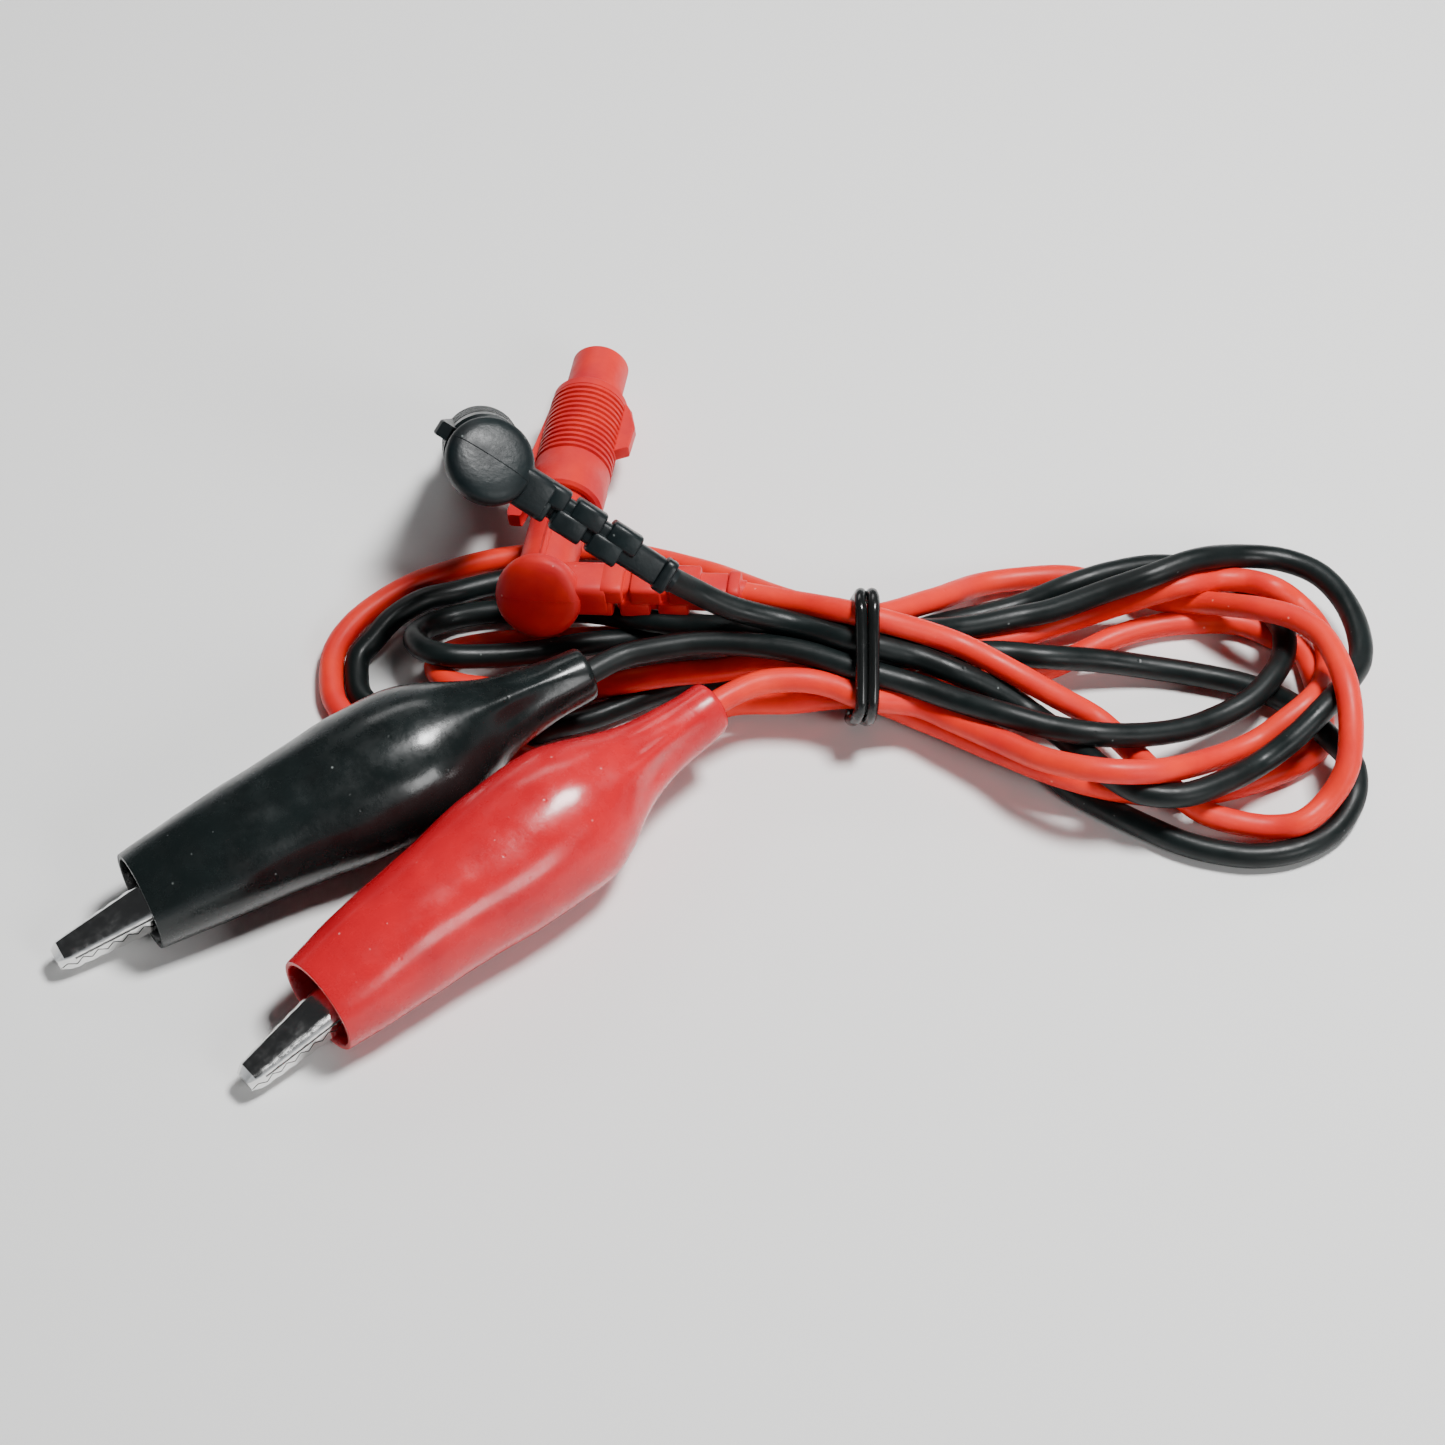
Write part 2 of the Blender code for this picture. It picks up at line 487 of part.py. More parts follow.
def make_clip(lead, place, collection, cutters, materials):
    mouth = Vector((*place["mouth"], 0)) * MM - SHIFT
    clip = Matrix.Translation(mouth) @ Matrix.Rotation(math.radians(place["clip_yaw"]), 4, "Z")
    frame = parent_empty(lead + "_clip_frame", clip, collection)
    boot = make_boot(lead + "_boot", collection, materials[lead + "_pvc"])
    under(frame, boot)

    pivot = Vector((PIVOT_FROM_MOUTH, place["jaw_side"], PIVOT_HEIGHT)) * MM
    turn = Matrix.Rotation(math.radians(place["jaw_yaw"]), 4, "Z")
    tilt = Matrix.Rotation(-math.radians(JAW_PITCH_DEG), 4, "Y")
    joint = parent_empty(lead + "_jaw_pivot", clip @ Matrix.Translation(pivot) @ turn @ tilt, collection)
    steel = materials["plated_steel"]
    upper, upper_guides = make_jaw(lead + "_upper_jaw", True, collection, cutters, steel)
    lower, lower_guides = make_jaw(lead + "_lower_jaw", False, collection, cutters, steel)
    rivet_length = 2 * (half_width(0.0, False) + 0.6) * MM
    rivet = cylinder(lead + "_pivot_rivet", RIVET_RADIUS * MM, rivet_length, ALONG_Y, 12, collection, steel)
    spring = tube(
        lead + "_jaw_spring", torsion_spring_points(), SPRING_WIRE_RADIUS * MM, 0, collection, steel
    )
    core_length = (CRIMP_U[1] - CRIMP_U[0] + 2.0) * MM
    core_place = Matrix.Translation(((CRIMP_U[0] + CRIMP_U[1]) / 2 * MM, 0, CRIMP_V * MM)) @ ALONG_X
    core = cylinder(
        lead + "_conductor", CONDUCTOR_RADIUS * MM, core_length, core_place, 12, collection, materials["copper"]
    )
    under(joint, upper, lower, rivet, spring, core, *upper_guides, *lower_guides)


# ---------------------------------------------------------------- plug


def relief_profile():
    """Segmented strain relief as (distance, radius) from the plug's middle."""
    thick, thin = RELIEF_RADII
    x = RELIEF_ROOT
    profile = [(0.5, thick), (x, thick), (x, thin)]
    for _ in range(2):
        x += RELIEF_NECK
        profile += [(x, thin), (x, thick)]
        x += RELIEF_BLOCK
        profile += [(x, thick), (x, thin)]
    x += RELIEF_NECK
    profile += [(x, thin), (x, thick), (x + RELIEF_RING, thick)]
    return profile


def make_plug(lead, place, wire_start, collection, cutters, materials):
    middle = Vector(place["plug"]) * MM - SHIFT
    pin_axis = Vector(place["pin"]).normalized()
    wire_dir = (wire_start - middle).normalized()
    up = wire_dir.cross(pin_axis).normalized()
    # The plug frame: +X along the pin, +Y square to the pin and the wire, +Z towards the wire
    side = pin_axis.cross(up)
    plug = Matrix.Translation(middle) @ Matrix((pin_axis, up, side)).transposed().to_4x4()
    frame = parent_empty(lead + "_plug_axis", plug, collection)
    pvc = materials[lead + "_pvc"]

    stem_profile = [(-1.0, STEM_RADIUS), (STEM_END, STEM_RADIUS)]
    body = mesh_object(
        lead + "_plug_body", bridged_rings(turned(stem_profile, 20), closed=False), collection, pvc
    )
    disc_profile = [(-DISC_EDGE - DISC_DOME, DISC_RADIUS * 0.55), (-DISC_EDGE - 0.6 * DISC_DOME, DISC_RADIUS * 0.85)]
    disc_profile += [(-DISC_EDGE, DISC_RADIUS), (0.0, DISC_RADIUS)]
    disc = mesh_object(
        lead + "_disc", bridged_rings(turned(disc_profile, 24), closed=False), cutters
    )
    disc.matrix_local = Matrix.Translation((-DISC_BACK * MM * 0.4, 0, 0)) @ Matrix.Rotation(
        math.radians(-DISC_TILT_DEG), 4, "Z"
    )
    relief = mesh_object(
        lead + "_relief", bridged_rings(turned(relief_profile(), 16), closed=False), cutters
    )
    local_wire = plug.to_3x3().inverted() @ wire_dir
    relief.matrix_local = local_wire.to_track_quat("X", "Z").to_matrix().to_4x4()
    bore_profile = [(PIN_START - GAP / MM, PIN_BORE), (STEM_END + 1.0, PIN_BORE)]
    bore = mesh_object(
        lead + "_pin_bore", bridged_rings(turned(bore_profile, 16), closed=False), cutters
    )
    boolean(body, disc, "UNION")
    boolean(body, relief, "UNION")
    boolean(body, bore, "DIFFERENCE")

    shroud_profile = [
        (SLEEVE_START, SLEEVE_RADIUS),
        (SLEEVE_END - 1.2, SLEEVE_RADIUS),
        (SLEEVE_END, SLEEVE_RADIUS - 0.8),
        (SLEEVE_END, NOSE_RADIUS),
        (NOSE_END, NOSE_RADIUS),
        (NOSE_END, NOSE_BORE),
        (SLEEVE_END - 1.5, NOSE_BORE),
        (SLEEVE_END - 1.5, SLEEVE_BORE),
        (SLEEVE_START, SLEEVE_BORE),
    ]
    sleeve = mesh_object(
        lead + "_plug_sleeve", bridged_rings(turned(shroud_profile, 24), closed=True), collection, pvc
    )
    fins = []
    reach = SLEEVE_RADIUS + FIN_HEIGHT
    root = SLEEVE_BORE + 0.5
    long_fin = [(SLEEVE_START - 3.0, reach), (SLEEVE_START + 1.0, reach), (SLEEVE_END - 4.0, SLEEVE_RADIUS)]
    long_fin += [(SLEEVE_END - 4.0, root), (SLEEVE_START + 0.5, root), (SLEEVE_START - 3.0, root + 0.9)]
    short_fin = [(SLEEVE_END - 13.0, SLEEVE_RADIUS), (SLEEVE_END - 8.0, reach), (SLEEVE_END - 3.5, SLEEVE_RADIUS)]
    short_fin += [(SLEEVE_END - 3.5, root), (SLEEVE_END - 13.0, root)]
    for number, (outline, sign) in enumerate(((long_fin, -1.0), (short_fin, 1.0))):
        half = 1.3 * MM
        rings = [[Vector((x * MM, y, sign * r * MM)) for x, r in outline] for y in (-half, half)]
        fin = mesh_object(f"{lead}_fin_{number}", bridged_rings(rings, closed=False), cutters)
        boolean(sleeve, fin, "UNION")
        fins.append(fin)

    nickel = materials["nickel"]
    pin_profile = [(PIN_START, PIN_RADIUS), (PIN_END - 1.0, PIN_RADIUS), (PIN_END, PIN_RADIUS * 0.6)]
    pin = mesh_object(
        lead + "_banana_pin", bridged_rings(turned(pin_profile, 16), closed=False), collection, nickel
    )
    start, end = LANTERN
    mid = (start + end) / 2
    outer = [(start, LANTERN_BORE + 0.25), (mid, LANTERN_RADIUS + 0.2), (end, LANTERN_BORE + 0.25)]
    inner = [(end, LANTERN_BORE), (mid, LANTERN_RADIUS - 0.1), (start, LANTERN_BORE)]
    lantern = mesh_object(
        lead + "_contact_spring", bridged_rings(turned(outer + inner, 16), closed=True), collection, nickel
    )
    begin, finish = RETURN_SPRING
    count = RETURN_SPRING_TURNS * 10
    coil = []
    for i in range(count + 1):
        angle = math.tau * RETURN_SPRING_TURNS * i / count
        along = begin + (finish - begin) * i / count
        reach = RETURN_SPRING_RADIUS
        coil.append(Vector((along, reach * math.cos(angle), reach * math.sin(angle))) * MM)
    spring = tube(
        lead + "_return_spring", coil, RETURN_SPRING_WIRE * MM, 0, collection, materials["plated_steel"]
    )
    under(frame, body, disc, relief, bore, sleeve, *fins, pin, lantern, spring)


# ---------------------------------------------------------------- wires and tie


def crossings(curve, x):
    """Where a dense curve passes the plane at x, as (y, z)."""
    found = []
    for a, b in zip(curve, curve[1:]):
        if (a.x - x) * (b.x - x) < 0:
            point = a.lerp(b, (x - a.x) / (b.x - a.x))
            found.append(Vector((point.y, point.z)))
    return found


def offset_hull(points, reach, count):
    """A round-cornered ring outside all the points, read at even angles from its middle."""
    hull = [points[i] for i in convex_hull_2d(points)]
    middle = sum(hull, Vector((0, 0))) / len(hull)
    ring = []
    for i in range(count):
        angle = math.tau * i / count
        out = Vector((math.cos(angle), math.sin(angle)))
        best = max(hull, key=lambda p: (p - middle).dot(out))
        ring.append(best + out * reach)
    return ring


def make_tie(curves, collection, cutters, material):
    """Two turns of round strand side by side, joined into one piece."""
    section = []
    for curve in curves:
        for shift in (-1.1, 0.0, 1.1):
            section += crossings(curve, TIE_X - SHIFT.x + shift * TIE_TURN_PITCH)
    ring = offset_hull(section, WIRE_RADIUS + TIE_CLEARANCE + TIE_TURN_RADIUS, 30)
    turns = []
    for number, shift in enumerate((-0.5, 0.5)):
        x = TIE_X - SHIFT.x + shift * TIE_TURN_PITCH
        centres = [Vector((x, y, z)) for y, z in ring]
        middle = sum(centres, Vector((0, 0, 0))) / len(centres)
        sections = []
        for centre in centres:
            out = (centre - middle).normalized()
            sections.append(
                circle_ring(centre, out, Vector((1, 0, 0)), TIE_TURN_RADIUS, TIE_TURN_RADIUS, 8)
            )
        where = collection if number == 0 else cutters
        name = "tie" if number == 0 else "tie_second_turn"
        turns.append(mesh_object(name, bridged_rings(sections, closed=True), where, material))
    boolean(turns[0], turns[1], "UNION")
    return turns[0]


def main():
    clear_scene()
    collection = make_collection(OBJECT_NAME)
    cutters = make_collection("cutters")
    materials = {
        "plated_steel": make_material("plated_steel", (0.75, 0.76, 0.77), 0.22, 1.0),
        "nickel": make_material("nickel", (0.72, 0.70, 0.66), 0.25, 1.0),
        "copper": make_material("copper", (0.70, 0.38, 0.24), 0.4, 1.0),
        "tie_plastic": make_material("tie_plastic", (0.02, 0.02, 0.02), 0.3),
    }
    for lead, place in LEADS.items():
        materials[lead + "_pvc"] = make_material(lead + "_pvc", place["colour"], 0.3)
    routes = {"red": RED_ROUTE, "black": BLACK_ROUTE}
    curves = []
    for lead, place in LEADS.items():
        dense = [point - SHIFT for point in smooth_curve(routes[lead], 12)]
        curves.append(dense)
        kept = spaced_along(dense, WIRE_RING_STEP, WIRE_BEND_WEIGHT)
        tube(lead + "_wire", kept, WIRE_RADIUS, 2, collection, materials[lead + "_pvc"])
        make_clip(lead, place, collection, cutters, materials)
        make_plug(lead, place, dense[0], collection, cutters, materials)
    make_tie(curves, collection, cutters, materials["tie_plastic"])


main()
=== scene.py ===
"""Pair of alligator clip leads, red and black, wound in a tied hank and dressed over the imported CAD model."""

import math

import bmesh
import bpy
from mathutils import Matrix, Vector, noise
from mathutils.geometry import convex_hull_2d


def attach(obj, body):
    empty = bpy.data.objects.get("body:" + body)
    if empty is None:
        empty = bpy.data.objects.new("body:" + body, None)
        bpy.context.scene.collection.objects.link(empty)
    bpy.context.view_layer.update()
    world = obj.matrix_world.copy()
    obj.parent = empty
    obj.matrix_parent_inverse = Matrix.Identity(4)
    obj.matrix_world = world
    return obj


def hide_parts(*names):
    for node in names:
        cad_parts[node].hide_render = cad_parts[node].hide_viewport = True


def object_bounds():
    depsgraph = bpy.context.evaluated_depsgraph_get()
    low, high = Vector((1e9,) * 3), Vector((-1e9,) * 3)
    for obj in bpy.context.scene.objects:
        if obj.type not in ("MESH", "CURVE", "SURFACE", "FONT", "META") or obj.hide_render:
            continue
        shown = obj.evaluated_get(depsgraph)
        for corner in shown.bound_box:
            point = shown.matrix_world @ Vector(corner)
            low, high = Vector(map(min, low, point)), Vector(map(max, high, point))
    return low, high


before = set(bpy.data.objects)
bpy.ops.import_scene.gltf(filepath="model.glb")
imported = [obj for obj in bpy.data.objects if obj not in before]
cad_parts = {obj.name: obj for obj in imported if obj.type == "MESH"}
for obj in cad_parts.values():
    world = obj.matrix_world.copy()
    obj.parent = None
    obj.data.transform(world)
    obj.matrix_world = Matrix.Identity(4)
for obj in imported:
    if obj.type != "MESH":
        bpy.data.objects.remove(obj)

MM = 0.001
CAD_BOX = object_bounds()

# The CAD model's own placing: the route's points and the frames below are given before this shift
SHIFT = Vector((-37.36, 0.97, 0.16)) * MM

# ---------------------------------------------------------------- camera

CAMERA_ELEVATION_DEG = 53.0
CAMERA_DISTANCE = 0.48
CAMERA_LENS_MM = 77.13
CAMERA_SENSOR_MM = 36.0


def make_camera():
    data = bpy.data.cameras.new("camera")
    data.sensor_width = CAMERA_SENSOR_MM
    data.lens = CAMERA_LENS_MM
    data.clip_start = 0.01
    camera = bpy.data.objects.new("camera", data)
    bpy.context.scene.collection.objects.link(camera)
    rise = math.radians(CAMERA_ELEVATION_DEG)
    eye = Vector((0, -math.cos(rise), math.sin(rise))) * CAMERA_DISTANCE - SHIFT
    camera.matrix_world = Matrix.Translation(eye) @ Matrix.Rotation(math.pi / 2 - rise, 4, "X")
    bpy.context.scene.camera = camera


make_camera()

# ---------------------------------------------------------------- routes

RED_ROUTE = (
    (0.0025, 0.0145, 0.0140), (0.0104, 0.0119, 0.0150), (0.0213, 0.0067, 0.0181),
    (0.0355, 0.0050, 0.0135), (0.0431, 0.0013, 0.0120), (0.0510, -0.0019, 0.0090),
    (0.0573, -0.0040, 0.0060), (0.0622, -0.0101, 0.0060), (0.0664, -0.0166, 0.0069),
    (0.0721, -0.0205, 0.0049), (0.0776, -0.0216, 0.0036), (0.0825, -0.0223, 0.0036),
    (0.0866, -0.0224, 0.0050), (0.0907, -0.0193, 0.0064), (0.0933, -0.0159, 0.0096),
    (0.0941, -0.0103, 0.0130), (0.0937, -0.0033, 0.0150), (0.0915, 0.0060, 0.0140),
    (0.0880, 0.0103, 0.0130), (0.0834, 0.0133, 0.0115), (0.0790, 0.0165, 0.0086),
    (0.0744, 0.0195, 0.0056), (0.0695, 0.0211, 0.0042), (0.0621, 0.0253, 0.0025),
    (0.0551, 0.0275, 0.0022), (0.0485, 0.0272, 0.0022), (0.0412, 0.0253, 0.0030),
    (0.0325, 0.0178, 0.0080), (0.0213, 0.0110, 0.0124), (0.0105, 0.0161, 0.0100),
    (-0.0036, 0.0272, 0.0042), (-0.0197, 0.0329, 0.0022), (-0.0332, 0.0316, 0.0022),
    (-0.0386, 0.0304, 0.0022), (-0.0438, 0.0285, 0.0022), (-0.0489, 0.0262, 0.0022),
    (-0.0539, 0.0225, 0.0022), (-0.0581, 0.0180, 0.0022), (-0.0607, 0.0128, 0.0022),
    (-0.0610, 0.0074, 0.0022), (-0.0598, 0.0019, 0.0022), (-0.0555, -0.0025, 0.0020),
    (-0.0470, -0.0040, 0.0020), (-0.0400, -0.0038, 0.0020), (-0.0340, -0.0063, 0.0020),
    (-0.0280, -0.0090, 0.0020), (-0.0200, -0.0105, 0.0020), (-0.0120, -0.0075, 0.0020),
    (-0.0050, -0.0030, 0.0025), (0.0002, 0.0002, 0.0040), (0.0104, 0.0002, 0.0050),
    (0.0213, 0.0011, 0.0049), (0.0318, -0.0031, 0.0042), (0.0422, -0.0094, 0.0050),
    (0.0508, -0.0146, 0.0062), (0.0598, -0.0165, 0.0050), (0.0693, -0.0154, 0.0022),
    (0.0754, -0.0145, 0.0022), (0.0814, -0.0126, 0.0022), (0.0873, -0.0098, 0.0022),
    (0.0913, -0.0064, 0.0022), (0.0924, -0.0021, 0.0022), (0.0926, 0.0027, 0.0022),
    (0.0921, 0.0078, 0.0022), (0.0908, 0.0126, 0.0022), (0.0877, 0.0146, 0.0022),
    (0.0819, 0.0178, 0.0022), (0.0751, 0.0182, 0.0022), (0.0684, 0.0174, 0.0022),
    (0.0616, 0.0150, 0.0022), (0.0557, 0.0116, 0.0022), (0.0501, 0.0082, 0.0030),
    (0.0367, 0.0045, 0.0050), (0.0213, 0.0006, 0.0090), (0.0073, 0.0046, 0.0086),
    (-0.0021, 0.0048, 0.0068), (-0.0073, 0.0049, 0.0060), (-0.0126, 0.0042, 0.0056),
    (-0.0180, 0.0041, 0.0040), (-0.0219, 0.0040, 0.0030), (-0.0299, 0.0042, 0.0025),
    (-0.0374, 0.0027, 0.0052), (-0.0420, 0.0036, 0.0056), (-0.0444, 0.0068, 0.0050),
    (-0.0426, 0.0108, 0.0037), (-0.0349, 0.0138, 0.0025), (-0.0256, 0.0146, 0.0022),
    (-0.0193, 0.0150, 0.0022), (-0.0035, 0.0151, 0.0026), (0.0104, 0.0063, 0.0067),
    (0.0213, 0.0044, 0.0074), (0.0337, 0.0088, 0.0065), (0.0450, 0.0130, 0.0042),
    (0.0514, 0.0158, 0.0040), (0.0586, 0.0180, 0.0050), (0.0653, 0.0189, 0.0074),
    (0.0723, 0.0201, 0.0091), (0.0778, 0.0224, 0.0076), (0.0824, 0.0222, 0.0076),
    (0.0863, 0.0199, 0.0086), (0.0900, 0.0185, 0.0066), (0.0930, 0.0140, 0.0060),
    (0.0942, 0.0094, 0.0050), (0.0929, 0.0037, 0.0060), (0.0895, -0.0028, 0.0094),
    (0.0857, -0.0060, 0.0088), (0.0807, -0.0090, 0.0070), (0.0738, -0.0129, 0.0080),
    (0.0642, -0.0188, 0.0130), (0.0558, -0.0192, 0.0138), (0.0479, -0.0156, 0.0116),
    (0.0422, -0.0108, 0.0095), (0.0353, -0.0060, 0.0084), (0.0297, -0.0027, 0.0080),
    (0.0213, -0.0033, 0.0106), (0.0168, -0.0016, 0.0113), (0.0121, -0.0010, 0.0120),
    (0.0064, -0.0015, 0.0122), (0.0028, -0.0034, 0.0127), (-0.0016, -0.0067, 0.0130),
    (-0.0047, -0.0096, 0.0130), (-0.0084, -0.0121, 0.0133),
)
BLACK_ROUTE = (
    (-0.0082, 0.0078, 0.0258), (-0.0045, 0.0085, 0.0220), (0.0010, 0.0080, 0.0185),
    (0.0103, 0.0077, 0.0150), (0.0213, 0.0034, 0.0156), (0.0296, 0.0027, 0.0130),
    (0.0354, 0.0006, 0.0120), (0.0423, -0.0011, 0.0090), (0.0469, -0.0033, 0.0070),
    (0.0525, -0.0097, 0.0080), (0.0579, -0.0169, 0.0094), (0.0623, -0.0205, 0.0100),
    (0.0685, -0.0209, 0.0099), (0.0756, -0.0175, 0.0090), (0.0811, -0.0135, 0.0080),
    (0.0863, -0.0101, 0.0100), (0.0910, -0.0057, 0.0115), (0.0947, -0.0008, 0.0105),
    (0.0979, 0.0049, 0.0095), (0.0984, 0.0108, 0.0090), (0.0970, 0.0184, 0.0080),
    (0.0938, 0.0233, 0.0080), (0.0887, 0.0261, 0.0080), (0.0817, 0.0261, 0.0090),
    (0.0739, 0.0229, 0.0118), (0.0666, 0.0195, 0.0120), (0.0598, 0.0181, 0.0100),
    (0.0511, 0.0158, 0.0080), (0.0458, 0.0148, 0.0075), (0.0368, 0.0117, 0.0088),
    (0.0213, 0.0072, 0.0140), (0.0104, 0.0121, 0.0108), (-0.0035, 0.0213, 0.0064),
    (-0.0196, 0.0284, 0.0023), (-0.0324, 0.0272, 0.0022), (-0.0369, 0.0257, 0.0026),
    (-0.0420, 0.0235, 0.0032), (-0.0473, 0.0216, 0.0036), (-0.0519, 0.0179, 0.0036),
    (-0.0547, 0.0140, 0.0032), (-0.0569, 0.0109, 0.0026), (-0.0570, 0.0074, 0.0022),
    (-0.0561, 0.0035, 0.0022), (-0.0530, 0.0008, 0.0024), (-0.0450, 0.0000, 0.0030),
    (-0.0370, -0.0011, 0.0032), (-0.0299, -0.0037, 0.0022), (-0.0252, -0.0023, 0.0022),
    (-0.0203, -0.0008, 0.0022), (-0.0154, 0.0015, 0.0022), (-0.0105, 0.0039, 0.0022),
    (-0.0035, 0.0060, 0.0025), (0.0089, 0.0062, 0.0025), (0.0213, 0.0066, 0.0045),
    (0.0321, 0.0003, 0.0020), (0.0425, -0.0060, 0.0022), (0.0486, -0.0098, 0.0022),
    (0.0530, -0.0143, 0.0022), (0.0591, -0.0186, 0.0022), (0.0651, -0.0222, 0.0022),
    (0.0691, -0.0243, 0.0022), (0.0733, -0.0257, 0.0022), (0.0794, -0.0266, 0.0022),
    (0.0859, -0.0255, 0.0022), (0.0920, -0.0217, 0.0022), (0.0957, -0.0154, 0.0030),
    (0.0954, -0.0115, 0.0050), (0.0921, -0.0076, 0.0064), (0.0891, -0.0019, 0.0049),
    (0.0858, 0.0027, 0.0030), (0.0806, 0.0056, 0.0025), (0.0741, 0.0074, 0.0025),
    (0.0676, 0.0085, 0.0028), (0.0587, 0.0084, 0.0048), (0.0497, 0.0072, 0.0073),
    (0.0432, 0.0078, 0.0075), (0.0335, 0.0061, 0.0094), (0.0213, 0.0039, 0.0115),
    (0.0088, 0.0069, 0.0116), (-0.0005, 0.0098, 0.0112), (-0.0055, 0.0115, 0.0098),
    (-0.0130, 0.0135, 0.0088), (-0.0207, 0.0182, 0.0048), (-0.0327, 0.0205, 0.0022),
    (-0.0381, 0.0201, 0.0022), (-0.0432, 0.0186, 0.0025), (-0.0466, 0.0156, 0.0040),
    (-0.0479, 0.0118, 0.0062), (-0.0461, 0.0082, 0.0080), (-0.0426, 0.0065, 0.0086),
    (-0.0365, 0.0071, 0.0076), (-0.0283, 0.0092, 0.0060), (-0.0222, 0.0106, 0.0060),
    (-0.0155, 0.0120, 0.0054), (-0.0055, 0.0126, 0.0062), (0.0027, 0.0103, 0.0086),
    (0.0120, 0.0088, 0.0092), (0.0213, 0.0077, 0.0099), (0.0341, 0.0154, 0.0050),
    (0.0463, 0.0197, 0.0042), (0.0551, 0.0223, 0.0065), (0.0613, 0.0247, 0.0065),
    (0.0689, 0.0270, 0.0055), (0.0777, 0.0273, 0.0036), (0.0842, 0.0245, 0.0028),
    (0.0865, 0.0172, 0.0052), (0.0873, 0.0118, 0.0072), (0.0870, 0.0084, 0.0065),
    (0.0847, 0.0037, 0.0070), (0.0809, -0.0008, 0.0070), (0.0753, -0.0044, 0.0070),
    (0.0699, -0.0073, 0.0080), (0.0628, -0.0096, 0.0096), (0.0559, -0.0107, 0.0113),
    (0.0492, -0.0095, 0.0115), (0.0422, -0.0074, 0.0120), (0.0359, -0.0046, 0.0115),
    (0.0295, -0.0017, 0.0115), (0.0213, 0.0000, 0.0131), (0.0118, 0.0033, 0.0135),
    (0.0043, 0.0049, 0.0132), (-0.0034, 0.0054, 0.0130), (-0.0095, 0.0044, 0.0130),
    (-0.0151, 0.0029, 0.0130), (-0.0217, -0.0014, 0.0130), (-0.0240, -0.0028, 0.0130),
    (-0.0278, -0.0051, 0.0133),
)

WIRE_RADIUS = 1.9 * MM


def smooth_curve(points, per_span):
    """Points of a centripetal Catmull-Rom curve through the given points."""
    points = [Vector(p) for p in points]
    ends = [2 * points[0] - points[1], *points, 2 * points[-1] - points[-2]]
    found = []
    for p0, p1, p2, p3 in zip(ends, ends[1:], ends[2:], ends[3:]):
        t1 = math.sqrt((p1 - p0).length)
        t2 = t1 + math.sqrt((p2 - p1).length)
        t3 = t2 + math.sqrt((p3 - p2).length)
        for i in range(per_span):
            t = t1 + (t2 - t1) * i / per_span
            a1 = p0.lerp(p1, t / t1)
            a2 = p1.lerp(p2, (t - t1) / (t2 - t1))
            a3 = p2.lerp(p3, (t - t2) / (t3 - t2))
            b1 = a1.lerp(a2, t / t2)
            b2 = a2.lerp(a3, (t - t1) / (t3 - t1))
            found.append(b1.lerp(b2, (t - t1) / (t2 - t1)))
    found.append(points[-1])
    return found


def link(obj):
    bpy.context.scene.collection.objects.link(obj)
    return obj


def tube(name, points, radius, material, resolution=6, cyclic=False):
    """A round strand along the points: a POLY curve with a bevel."""
    curve = bpy.data.curves.new(name, "CURVE")
    curve.dimensions = "3D"
    curve.bevel_depth = radius
    curve.bevel_resolution = resolution
    curve.use_fill_caps = not cyclic
    spline = curve.splines.new("POLY")
    spline.points.add(len(points) - 1)
    for target, point in zip(spline.points, points):
        target.co = (*point, 1.0)
    spline.use_cyclic_u = cyclic
    spline.use_smooth = True
    curve.materials.append(material)
    return link(bpy.data.objects.new(name, curve))


# ---------------------------------------------------------------- materials


